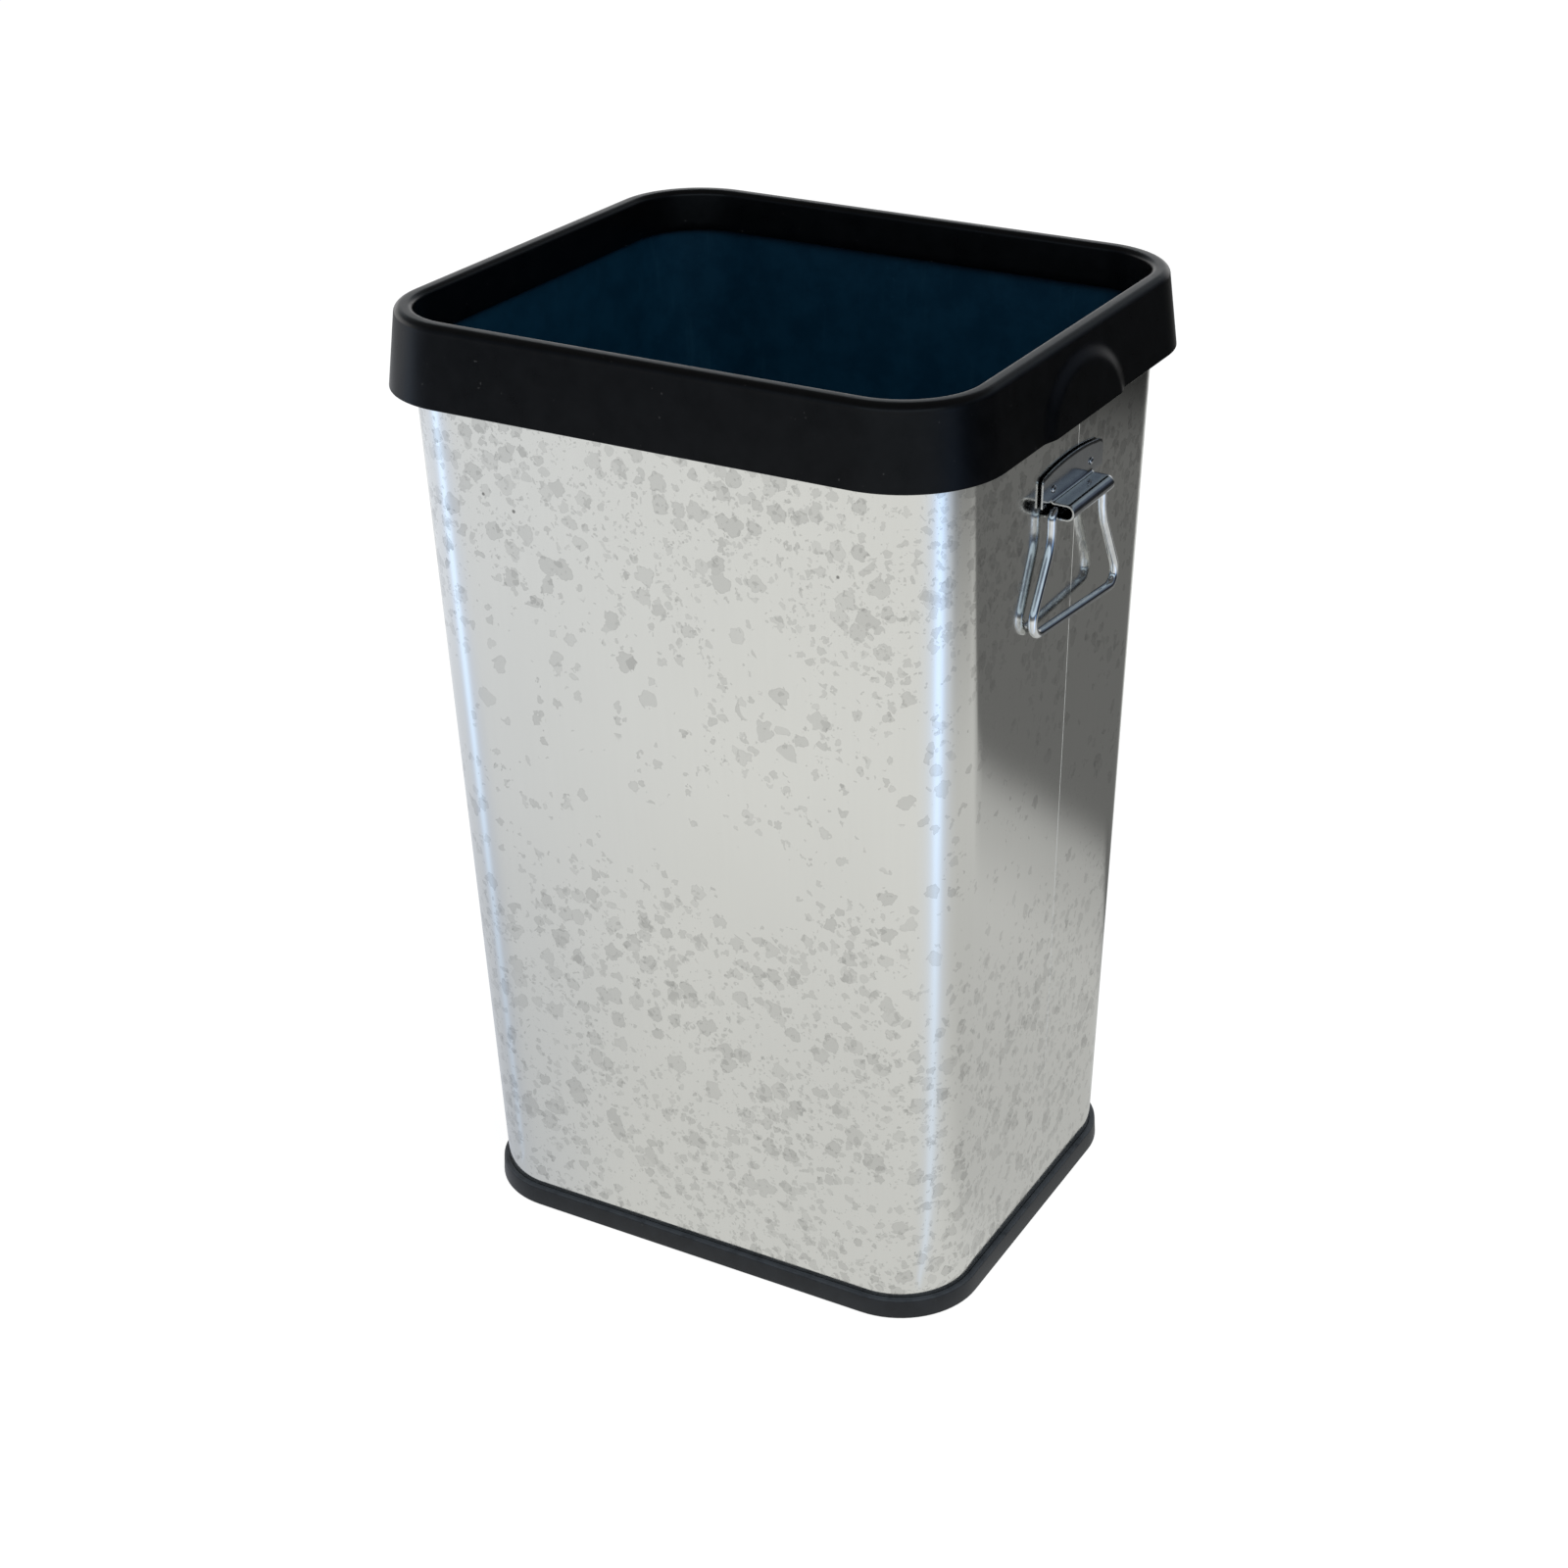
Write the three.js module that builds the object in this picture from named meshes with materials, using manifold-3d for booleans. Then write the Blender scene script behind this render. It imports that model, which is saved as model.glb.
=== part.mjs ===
// Tapered galvanized bin with a drop-on black collar, a black foot ring and two side bails.
// Millimetres. +Z is up, +X is the side of the right handle, -Y is the front.
// The origin lies on the floor, under the middle of the bin.

import * as THREE from 'three';
import { mergeVertices } from 'three/addons/utils/BufferGeometryUtils.js';
import Module from 'manifold-3d';

const wasm = await Module();
wasm.setup();

// Overall
const binHeight = 600;
const fitGap = 0.3;
const cornerSteps = 10;
const weldDistance = 1e-4;

// Wall, as rounded rectangles at the floor and at the rim
const floorHalfX = 167.6;
const floorHalfY = 134.6;
const floorCorner = 48.1;
const rimHalfX = 178.2;
const rimHalfY = 158.4;
const rimCorner = 47.5;
const wallSheet = 0.6;
const seamY = 16;
const lapWidth = 10;
const joggleLength = 2.5;
const hemDepth = 7;

// Foot ring
const footHeight = 14.7;
const footReach = 4.9;
const footDraft = 1;
const footBevel = 1.4;
const footFloor = 2.4;
const footInnerLip = 2.2;
const footInnerRise = 6;

// Bottom pan
const panSheet = 0.6;
const panBend = 2.5;
const panRecess = 11;
const panBeadInset = 26;
const panBeadSlope = 5;
const panBeadRise = 3;

// Collar
const collarWall = 2.2;
const collarTop = 2.5;
const collarReach = 6.9;
const skirtDepth = 46.6;
const skirtDraft = 6.2;
const outerRoll = 4.5;
const innerRoll = 3.4;
const innerLipSlack = 0.5;
const innerLipDepth = 27;
const innerLipLean = 1.5;
const innerLipWall = 1.8;
const ribThickness = 1.8;
const ribPitch = 62;
const ribLift = 6;

// Raised arch on each side of the collar
const archWidth = 112;
const archHeight = 39;
const archRaise = 3;
const archBevel = 1.2;
const archCentreY = -8;

// Handle bracket
const handleCentreY = 4.5;
const axleDrop = 100;
const bracketSheet = 1.1;
const plateStandOff = 1.2;
const plateWidth = 82;
const plateEndHeight = 12;
const plateMidHeight = 18.8;
const plateCorner = 4;
const tunnelLength = 56;
const tunnelReach = 16.6;
const tunnelRoom = 7.4;
const foldRadius = 2;
const leafEndGap = 0.5;
const foldSteps = 4;
const noseSteps = 10;

// Bail wire, which hangs turned in its wide tunnel, with its back leg further from the wall
const wireDiameter = 5.5;
const axleOut = 6.6;
const bailShift = 2;
const bailTurnDegrees = 2.9;
const bailNeckWidth = 68;
const bailFootWidth = 107;
const bailDrop = 73;
const bailNeckLength = 14;
const bailFootLength = 14;
const bailEndGap = 5;
const neckBend = 5;
const splayBend = 30;
const footBend = 8;

// Rivets
const rivetSpacing = 51;
const rivetRise = 7;
const rivetShank = 3.2;
const rivetHead = 4.6;
const rivetHeadHeight = 1.1;
const rivetTail = 5.6;
const rivetTailHeight = 1.1;
const rivetSides = 16;

// Heights that follow from the sizes above
const wallBottom = footFloor + fitGap;
const wallTop = binHeight - collarTop - fitGap;
const skirtBottom = binHeight - skirtDepth;
const axleZ = binHeight - axleDrop;
const wireRadius = wireDiameter / 2;
const wallLean = Math.atan2(rimHalfX - floorHalfX, binHeight);

const galvanized = { color: 0xc9c8c2, roughness: 0.32, metalness: 0.9 };
const blackPlastic = { color: 0x14161a, roughness: 0.45, metalness: 0 };
const zincPlate = { color: 0x9b9fa0, roughness: 0.28, metalness: 1 };
const brightWire = { color: 0xc4c8cb, roughness: 0.16, metalness: 1 };

function mesh(name, geometry, look) {
  const solid = new THREE.Mesh(geometry, new THREE.MeshStandardMaterial(look));
  solid.name = name;
  return solid;
}

// Rounded rectangle of the wall's outer face at a height.
function wallSection(z) {
  const share = z / binHeight;
  return {
    halfX: THREE.MathUtils.lerp(floorHalfX, rimHalfX, share),
    halfY: THREE.MathUtils.lerp(floorHalfY, rimHalfY, share),
    corner: THREE.MathUtils.lerp(floorCorner, rimCorner, share),
  };
}

// Corners of a rounded rectangle, grown outward by offset, counter-clockwise from the +X +Y corner.
function sectionLoop(section, offset) {
  const radius = section.corner + offset;
  const middleX = section.halfX - section.corner;
  const middleY = section.halfY - section.corner;
  const points = [];
  for (let corner = 0; corner < 4; corner += 1) {
    const signX = corner === 0 || corner === 3 ? 1 : -1;
    const signY = corner < 2 ? 1 : -1;
    for (let step = 0; step <= cornerSteps; step += 1) {
      const angle = (corner + step / cornerSteps) * Math.PI / 2;
      const x = signX * middleX + radius * Math.cos(angle);
      const y = signY * middleY + radius * Math.sin(angle);
      points.push(new THREE.Vector2(x, y));
    }
  }
  return points;
}

function wallLoop(offset, z) {
  return sectionLoop(wallSection(z), offset);
}

function rimLoop(offset) {
  return sectionLoop(wallSection(binHeight), offset);
}

// Joins rows of points into one closed skin. Rows wrap round where rowsClose says so, and points
// within a row where pointsClose does. Open ends are closed by flat caps.
function skin(rows, rowsClose, pointsClose) {
  const rowLength = rows[0].length;
  const positions = rows.flat().flatMap((point) => [point.x, point.y, point.z]);
  const faces = [];
  const lastRow = rowsClose ? rows.length : rows.length - 1;
  const lastPoint = pointsClose ? rowLength : rowLength - 1;
  for (let row = 0; row < lastRow; row += 1) {
    for (let item = 0; item < lastPoint; item += 1) {
      const here = row * rowLength + item;
      const beside = row * rowLength + (item + 1) % rowLength;
      const above = ((row + 1) % rows.length) * rowLength + item;
      const across = ((row + 1) % rows.length) * rowLength + (item + 1) % rowLength;
      faces.push(here, beside, across, here, across, above);
    }
  }
  const geometry = new THREE.BufferGeometry();
  geometry.setAttribute('position', new THREE.Float32BufferAttribute(positions, 3));
  geometry.setIndex(faces);
  return geometry;
}

// Adds flat caps over two rings, given as lists of vertex numbers and of their flat outlines.
function capped(geometry, rings) {
  const faces = Array.from(geometry.index.array);
  rings.forEach(({ numbers, outline, turn }) => {
    THREE.ShapeUtils.triangulateShape(outline, []).forEach(([a, b, c]) => {
      const face = [numbers[a], numbers[b], numbers[c]];
      faces.push(...(turn ? face.reverse() : face));
    });
  });
  geometry.setIndex(faces);
  return geometry;
}

function signedVolume(geometry) {
  const position = geometry.attributes.position;
  const index = geometry.index;
  const a = new THREE.Vector3();
  const b = new THREE.Vector3();
  const c = new THREE.Vector3();
  let total = 0;
  for (let face = 0; face < index.count; face += 3) {
    a.fromBufferAttribute(position, index.getX(face));
    b.fromBufferAttribute(position, index.getX(face + 1));
    c.fromBufferAttribute(position, index.getX(face + 2));
    total += a.dot(b.cross(c));
  }
  return total / 6;
}

// Turns the faces round where they point inward.
function facingOut(geometry) {
  if (signedVolume(geometry) < 0) {
    geometry.setIndex(Array.from(geometry.index.array).reverse());
  }
  return geometry;
}

// Closed ring: a closed profile of (offset, height) points carried round a loop.
function ringSolid(profile, loopAt) {
  const rows = profile.map(([offset, z]) => (
    loopAt(offset, z).map((point) => new THREE.Vector3(point.x, point.y, z))
  ));
  return facingOut(skin(rows, true, true));
}

// Pressed sheet: a stack of loops whose first and last are closed by flat faces.
function dishSolid(profile, loopAt) {
  const loops = profile.map(([offset, z]) => loopAt(offset, z));
  const rows = loops.map((loop, row) => (
    loop.map((point) => new THREE.Vector3(point.x, point.y, profile[row][1]))
  ));
  const rowLength = rows[0].length;
  const firstNumbers = loops[0].map((point, item) => item);
  const lastStart = (rows.length - 1) * rowLength;
  const lastNumbers = loops[0].map((point, item) => lastStart + item);
  const geometry = capped(skin(rows, false, true), [
    { numbers: firstNumbers, outline: loops[0], turn: true },
    { numbers: lastNumbers, outline: loops[loops.length - 1], turn: false },
  ]);
  return facingOut(geometry);
}

// Wrapped sheet: a closed profile carried along an open path, with both ends closed.
function stripSolid(profile, pathAt) {
  const rows = profile.map(([offset, z]) => (
    pathAt(offset, z).map((point) => new THREE.Vector3(point.x, point.y, z))
  ));
  const rowLength = rows[0].length;
  const outline = profile.map(([offset, z]) => new THREE.Vector2(offset, z));
  const startNumbers = rows.map((row, place) => place * rowLength);
  const endNumbers = rows.map((row, place) => place * rowLength + rowLength - 1);
  const clockwise = THREE.ShapeUtils.isClockWise(outline);
  const geometry = capped(skin(rows, true, false), [
    { numbers: startNumbers, outline, turn: clockwise },
    { numbers: endNumbers, outline, turn: !clockwise },
  ]);
  return facingOut(geometry);
}

function toSolid(geometry) {
  const bare = new THREE.BufferGeometry();
  bare.setAttribute('position', geometry.attributes.position.clone());
  if (geometry.index) {
    bare.setIndex(geometry.index.clone());
  }
  const merged = mergeVertices(bare, weldDistance);
  const vertProperties = new Float32Array(merged.attributes.position.array);
  const triVerts = new Uint32Array(merged.index.array);
  return new wasm.Manifold(new wasm.Mesh({ numProp: 3, vertProperties, triVerts }));
}

function fromSolid(solid) {
  const result = solid.getMesh();
  const geometry = new THREE.BufferGeometry();
  geometry.setAttribute('position', new THREE.Float32BufferAttribute(result.vertProperties, 3));
  geometry.setIndex(Array.from(result.triVerts));
  return geometry;
}

function joined(geometries) {
  return geometries.map(toSolid).reduce((whole, piece) => whole.add(piece));
}

function arc(centreX, centreY, radius, fromAngle, toAngle, steps) {
  return Array.from({ length: steps + 1 }, (unused, step) => {
    const angle = THREE.MathUtils.lerp(fromAngle, toAngle, step / steps);
    return [centreX + radius * Math.cos(angle), centreY + radius * Math.sin(angle)];
  });
}

// Wall: one sheet wrapped round, with a joggled lap on the right side and a hem along the top.
// The tucked leaf is notched below, where the pan's flange lies, and has no hem above.
function wrapPath(offset, z) {
  const section = wallSection(z);
  const x = section.halfX + offset;
  const start = new THREE.Vector2(x, seamY + joggleLength);
  const end = new THREE.Vector2(x, seamY - fitGap);
  return [start, ...sectionLoop(section, offset), end];
}

function tuckPath(offset, z) {
  const x = wallSection(z).halfX + offset;
  const tuckedX = x - wallSheet - fitGap;
  return [
    new THREE.Vector2(tuckedX, seamY - lapWidth),
    new THREE.Vector2(tuckedX, seamY),
    new THREE.Vector2(x, seamY + joggleLength),
    new THREE.Vector2(x, seamY + 2 * joggleLength),
  ];
}

function sheetProfile(bottomZ) {
  const topZ = wallTop - wallSheet / 2;
  return [[0, bottomZ], [0, topZ], [-wallSheet, topZ], [-wallSheet, bottomZ]];
}

function hemProfile() {
  const inner = fitGap;
  const outer = fitGap + wallSheet;
  const shoulder = wallSheet / 2;
  return [
    [-wallSheet, wallTop - wallSheet],
    [-wallSheet, wallTop - shoulder],
    [-shoulder, wallTop],
    [outer - shoulder, wallTop],
    [outer, wallTop - shoulder],
    [outer, wallTop - hemDepth],
    [inner, wallTop - hemDepth],
    [inner, wallTop - wallSheet],
  ];
}

function wallSolid() {
  const notchTop = wallBottom + panRecess + fitGap;
  return [
    stripSolid(sheetProfile(wallBottom), wrapPath),
    stripSolid(sheetProfile(notchTop), tuckPath),
    stripSolid(hemProfile(), wrapPath),
  ].map(toSolid).reduce((whole, piece) => whole.add(piece));
}

// Foot ring: a channel that takes the lower edges of the wall and the pan.
function footSolid() {
  const panFlangeInner = -wallSheet - fitGap - panSheet;
  const lipOuter = panFlangeInner - fitGap;
  const lipInner = lipOuter - footInnerLip;
  const bevelHeight = footHeight - footBevel;
  return ringSolid([
    [footReach - footBevel, 0],
    [footReach, footBevel],
    [footReach - footDraft, bevelHeight],
    [footReach - footDraft - footBevel, footHeight],
    [fitGap, footHeight],
    [fitGap, footFloor],
    [lipOuter, footFloor],
    [lipOuter, footFloor + footInnerRise],
    [lipInner, footFloor + footInnerRise],
    [lipInner, 0],
  ], wallLoop);
}

// Bottom pan: a flat floor above a flange turned down inside the wall, stiffened by a raised field.
function panSolid() {
  const flange = -wallSheet - fitGap;
  const floorTop = wallBottom + panRecess;
  const bendIn = panBend - panSheet;
  const beadEdge = flange - panBeadInset;
  const beadTop = beadEdge - panBeadSlope;
  const quarter = Math.PI / 2;
  const upper = arc(flange - panBend, floorTop - panBend, panBend, quarter, 0, 4);
  const lower = arc(flange - panBend, floorTop - panBend, bendIn, 0, quarter, 4);
  return dishSolid([
    [beadTop, floorTop + panBeadRise],
    [beadEdge, floorTop],
    ...upper,
    [flange, wallBottom],
    [flange - panSheet, wallBottom],
    ...lower,
    [beadEdge, floorTop - panSheet],
    [beadTop, floorTop + panBeadRise - panSheet],
  ], wallLoop);
}

// Collar: a channel that hangs over the wall's top edge, with a deep outer skirt.
function skirtFace(z) {
  return collarReach + skirtDraft * (binHeight - z) / skirtDepth;
}

function collarProfile() {
  const quarter = Math.PI / 2;
  const rollTop = binHeight - outerRoll;
  const roofZ = binHeight - collarTop;
  const innerBottom = binHeight - innerLipDepth;
  const lipOuter = -2 * wallSheet - fitGap - innerLipSlack;
  const lipInner = lipOuter - innerLipWall;
  const outerArc = arc(skirtFace(rollTop) - outerRoll, rollTop, outerRoll, 0, quarter, 5);
  const innerArc = arc(lipInner + innerRoll, binHeight - innerRoll, innerRoll, quarter, 2 * quarter, 5);
  return [
    [skirtFace(skirtBottom), skirtBottom],
    ...outerArc,
    ...innerArc,
    [lipInner - innerLipLean, innerBottom],
    [lipOuter - innerLipLean, innerBottom],
    [lipOuter, roofZ],
    [skirtFace(roofZ) - collarWall - collarTop / 2, roofZ],
    [skirtFace(roofZ - collarTop) - collarWall, roofZ - collarTop],
    [skirtFace(skirtBottom) - collarWall, skirtBottom],
  ];
}

// Rib between the skirt and the hem, drawn in its own plane and turned to its place on the rim.
function ribSolid(place, normalAngle) {
  const bearing = fitGap + wallSheet + fitGap;
  const lowZ = skirtBottom + ribLift;
  const roofZ = binHeight - collarTop;
  const sink = collarWall / 2;
  const shape = new THREE.Shape([
    new THREE.Vector2(skirtFace(lowZ) - sink, lowZ),
    new THREE.Vector2(skirtFace(roofZ) - sink, roofZ + sink),
    new THREE.Vector2(bearing, roofZ + sink),
    new THREE.Vector2(bearing, roofZ - hemDepth),
    new THREE.Vector2(skirtFace(lowZ) - collarWall - fitGap, lowZ),
  ]);
  const rib = new THREE.ExtrudeGeometry(shape, { depth: ribThickness, bevelEnabled: false });
  rib.translate(0, 0, -ribThickness / 2);
  rib.rotateX(Math.PI / 2);
  rib.rotateZ(normalAngle);
  rib.translate(place.x, place.y, 0);
  return rib;
}

function ribPlaces() {
  const section = wallSection(binHeight);
  const places = [];
  const sides = [
    { reach: section.halfX, run: section.halfY - section.corner, angle: 0 },
    { reach: section.halfY, run: section.halfX - section.corner, angle: Math.PI / 2 },
  ];
  sides.forEach(({ reach, run, angle }) => {
    const count = Math.max(1, Math.round(2 * run / ribPitch));
    [angle, angle + Math.PI].forEach((normalAngle) => {
      for (let rib = 0; rib <= count; rib += 1) {
        const along = THREE.MathUtils.lerp(-run, run, rib / count);
        const spot = new THREE.Vector2(reach, along).rotateAround(new THREE.Vector2(), normalAngle);
        places.push({ spot, normalAngle });
      }
    });
  });
  return places;
}

// Raised arch on the skirt, sheared so that its face runs parallel to the skirt's.
function archSolid(side) {
  const sink = collarWall / 2;
  const shape = new THREE.Shape();
  const halfWidth = archWidth / 2 - archBevel;
  const height = archHeight - archBevel;
  shape.moveTo(halfWidth, archBevel);
  shape.absellipse(0, archBevel, halfWidth, height - archBevel, 0, Math.PI, false, 0);
  shape.closePath();
  const arch = new THREE.ExtrudeGeometry(shape, {
    depth: sink + archRaise - archBevel,
    steps: 1,
    curveSegments: 20,
    bevelEnabled: true,
    bevelSize: archBevel,
    bevelThickness: archBevel,
    bevelSegments: 2,
  });
  // The outline's own width becomes Y, its height Z and the extrusion X.
  arch.applyMatrix4(new THREE.Matrix4().set(
    0, 0, 1, 0,
    1, 0, 0, 0,
    0, 1, 0, 0,
    0, 0, 0, 1,
  ));
  const slope = skirtDraft / skirtDepth;
  const faceAtFoot = rimHalfX + skirtFace(skirtBottom);
  arch.applyMatrix4(new THREE.Matrix4().set(
    side, 0, -side * slope, side * (faceAtFoot - sink),
    0, 1, 0, archCentreY,
    0, 0, 1, skirtBottom,
    0, 0, 0, 1,
  ));
  if (side < 0) {
    return turned(arch);
  }
  return arch;
}

// A mirrored geometry has its faces turned in, so each triangle is read backwards.
function turned(geometry) {
  const bare = new THREE.BufferGeometry();
  bare.setAttribute('position', geometry.attributes.position);
  return facingOut(mergeVertices(bare, weldDistance));
}

function collarSolid() {
  const channel = ringSolid(collarProfile(), (offset) => rimLoop(offset));
  const ribs = ribPlaces().map(({ spot, normalAngle }) => ribSolid(spot, normalAngle));
  return joined([channel, ...ribs, archSolid(1), archSolid(-1)]);
}

// Bracket: a plate with an arched top whose lower edge is folded out, round and back.
// Drawn with X out from the wall, Y along it and Z up, from the wall's face at the axle's height.
const leafInner = -wireRadius - fitGap;
const roofInner = leafInner + tunnelRoom;
const roofUp = roofInner + bracketSheet;
const foldUp = roofUp + foldRadius;
const plateOut = plateStandOff + bracketSheet;
const rivetUp = roofUp + rivetRise;

function plateSolid() {
  const half = plateWidth / 2;
  const endTop = roofUp + plateEndHeight;
  const shoulder = endTop + plateCorner;
  const crown = roofUp + plateMidHeight;
  const shape = new THREE.Shape();
  shape.moveTo(-half, foldUp);
  shape.lineTo(half, foldUp);
  shape.lineTo(half, endTop - plateCorner / 2);
  shape.quadraticCurveTo(half, endTop + plateCorner / 2, half - plateCorner, shoulder);
  shape.quadraticCurveTo(0, 2 * crown - shoulder, plateCorner - half, shoulder);
  shape.quadraticCurveTo(-half, endTop + plateCorner / 2, -half, endTop - plateCorner / 2);
  shape.closePath();
  const plate = new THREE.ExtrudeGeometry(shape, {
    depth: bracketSheet,
    bevelEnabled: false,
    curveSegments: 8,
  });
  plate.applyMatrix4(new THREE.Matrix4().set(
    0, 0, 1, plateStandOff,
    1, 0, 0, 0,
    0, 1, 0, 0,
    0, 0, 0, 1,
  ));
  return plate;
}

function tunnelSolid() {
  const quarter = Math.PI / 2;
  const foldOut = plateOut + foldRadius;
  const outerFold = foldRadius + bracketSheet;
  const innerNose = tunnelRoom / 2;
  const outerNose = innerNose + bracketSheet;
  const noseUp = leafInner + innerNose;
  const noseOut = tunnelReach - outerNose;
  const rootUp = foldUp + bracketSheet;
  const outer = [
    [plateOut, rootUp],
    ...arc(foldOut, foldUp, foldRadius, 2 * quarter, 3 * quarter, foldSteps),
    ...arc(noseOut, noseUp, outerNose, quarter, -quarter, noseSteps),
    [leafEndGap, leafInner - bracketSheet],
  ];
  const inner = [
    [leafEndGap, leafInner],
    ...arc(noseOut, noseUp, innerNose, -quarter, quarter, noseSteps),
    ...arc(foldOut, foldUp, outerFold, 3 * quarter, 2 * quarter, foldSteps),
    [plateStandOff, rootUp],
  ];
  const outline = [...outer, ...inner].map(([out, up]) => new THREE.Vector2(out, up));
  const tunnel = new THREE.ExtrudeGeometry(new THREE.Shape(outline), {
    depth: tunnelLength,
    bevelEnabled: false,
  });
  tunnel.translate(0, 0, -tunnelLength / 2);
  tunnel.rotateX(Math.PI / 2);
  return tunnel;
}

function rivetBore(along) {
  const radius = rivetShank / 2 + fitGap;
  const length = 2 * (plateOut + wallSheet);
  const bore = new THREE.CylinderGeometry(radius, radius, length, rivetSides);
  bore.rotateZ(Math.PI / 2);
  bore.translate(0, along, rivetUp);
  return bore;
}

function rivetSpots() {
  return [
    { end: 'front', along: -rivetSpacing / 2 },
    { end: 'back', along: rivetSpacing / 2 },
  ];
}

function bracketSolid() {
  const body = joined([plateSolid(), tunnelSolid()]);
  return rivetSpots().reduce((whole, { along }) => (
    whole.subtract(toSolid(rivetBore(along)))
  ), body);
}

// Rivet: domed head outside the plate, shank through plate and wall, formed tail inside.
function rivetSolid() {
  const headSeat = plateOut + fitGap;
  const tailSeat = -wallSheet - fitGap;
  const dome = arc(0, 0, 1, 0, Math.PI / 2, 4).map(([across, up]) => (
    new THREE.Vector2(rivetHead / 2 * across, headSeat + rivetHeadHeight * up)
  ));
  const profile = [
    new THREE.Vector2(0, tailSeat - rivetTailHeight),
    new THREE.Vector2(rivetTail / 2 - rivetTailHeight / 3, tailSeat - rivetTailHeight),
    new THREE.Vector2(rivetTail / 2, tailSeat - rivetTailHeight / 2),
    new THREE.Vector2(rivetTail / 2 - rivetTailHeight / 3, tailSeat),
    new THREE.Vector2(rivetShank / 2, tailSeat),
    new THREE.Vector2(rivetShank / 2, headSeat),
    ...dome.slice(0, -1),
    new THREE.Vector2(0, headSeat + rivetHeadHeight),
  ];
  const rivet = new THREE.LatheGeometry(profile, rivetSides);
  rivet.rotateZ(-Math.PI / 2);
  return rivet;
}

// A wire's route through its stations, with a station at each bend's start, end and arc points.
class BentWire extends THREE.Curve {
  constructor(corners, bendSteps) {
    super();
    this.stations = [corners[0].point];
    for (let place = 1; place < corners.length - 1; place += 1) {
      this.addBend(corners[place - 1].point, corners[place], corners[place + 1].point, bendSteps);
    }
    this.stations.push(corners[corners.length - 1].point);
  }

  addBend(before, corner, after, steps) {
    const inward = before.clone().sub(corner.point).normalize();
    const onward = after.clone().sub(corner.point).normalize();
    const halfAngle = inward.angleTo(onward) / 2;
    const setback = corner.bend / Math.tan(halfAngle);
    const middle = inward.clone().add(onward).normalize();
    const centre = corner.point.clone().addScaledVector(middle, corner.bend / Math.sin(halfAngle));
    const first = corner.point.clone().addScaledVector(inward, setback).sub(centre);
    const last = corner.point.clone().addScaledVector(onward, setback).sub(centre);
    const sweep = first.angleTo(last);
    for (let step = 0; step <= steps; step += 1) {
      const share = step / steps;
      const along = first.clone().multiplyScalar(Math.sin((1 - share) * sweep));
      along.addScaledVector(last, Math.sin(share * sweep)).divideScalar(Math.sin(sweep));
      this.stations.push(centre.clone().add(along));
    }
  }

  getPoint(share, target = new THREE.Vector3()) {
    const place = share * (this.stations.length - 1);
    const first = Math.min(Math.floor(place), this.stations.length - 2);
    return target.lerpVectors(this.stations[first], this.stations[first + 1], place - first);
  }

  getPointAt(share, target) {
    return this.getPoint(share, target);
  }

  getTangentAt(share, target = new THREE.Vector3()) {
    const last = this.stations.length - 1;
    const place = Math.round(share * last);
    const before = this.stations[Math.max(place - 1, 0)];
    const here = this.stations[place];
    const after = this.stations[Math.min(place + 1, last)];
    const arriving = here.clone().sub(before).normalize();
    const leaving = after.clone().sub(here).normalize();
    return target.copy(arriving).add(leaving).normalize();
  }
}

// Bail: one wire whose two ends lie in the tunnel as the axle, drawn hanging from the axle.
function bailSolid() {
  const neck = bailNeckWidth / 2;
  const foot = bailFootWidth / 2;
  const half = [
    { along: bailEndGap / 2, down: 0, bend: 0 },
    { along: neck, down: 0, bend: neckBend },
    { along: neck, down: bailNeckLength, bend: splayBend },
    { along: foot, down: bailDrop - bailFootLength, bend: splayBend / 2 },
    { along: foot, down: bailDrop, bend: footBend },
  ];
  const corner = ({ along, down, bend }, side) => (
    { point: new THREE.Vector3(0, side * along, -down), bend }
  );
  const corners = [
    ...half.map((spot) => corner(spot, -1)),
    ...half.map((spot) => corner(spot, 1)).reverse(),
  ];
  const route = new BentWire(corners, 5);
  const section = new THREE.Shape().absarc(0, 0, wireRadius, 0, 2 * Math.PI, false);
  return new THREE.ExtrudeGeometry(section, {
    steps: route.stations.length - 1,
    curveSegments: 12,
    extrudePath: route,
    bevelEnabled: false,
  });
}

// Handle: bracket, rivets and bail, set on the wall's face, and the wall bored for the rivets.
function handle(side, sideName, wall) {
  const group = new THREE.Group();
  group.position.set(side * wallSection(axleZ).halfX, handleCentreY, axleZ);
  group.rotation.order = 'ZYX';
  group.rotation.set(0, wallLean, side > 0 ? 0 : Math.PI);
  group.add(mesh(`bracket_${sideName}`, fromSolid(bracketSolid()), zincPlate));
  rivetSpots().forEach(({ end, along }) => {
    const rivet = mesh(`rivet_${sideName}_${end}`, rivetSolid(), zincPlate);
    rivet.position.set(0, side * along, rivetUp);
    group.add(rivet);
  });
  const bail = mesh(`bail_${sideName}`, bailSolid(), brightWire);
  bail.position.set(axleOut, side * bailShift, 0);
  bail.rotation.z = -side * THREE.MathUtils.degToRad(bailTurnDegrees);
  group.add(bail);
  group.updateMatrixWorld(true);
  const bored = rivetSpots().reduce((whole, { along }) => (
    whole.subtract(toSolid(rivetBore(along).applyMatrix4(group.matrixWorld)))
  ), wall);
  return { group, wall: bored };
}

const bin = new THREE.Group();
const right = handle(1, 'right', wallSolid());
const left = handle(-1, 'left', right.wall);
bin.add(mesh('body_shell', fromSolid(left.wall), galvanized));
bin.add(mesh('bottom_pan', panSolid(), galvanized));
bin.add(mesh('foot_ring', footSolid(), blackPlastic));
bin.add(mesh('rim_collar', fromSolid(collarSolid()), blackPlastic));
bin.add(right.group, left.group);

export default bin;
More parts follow.
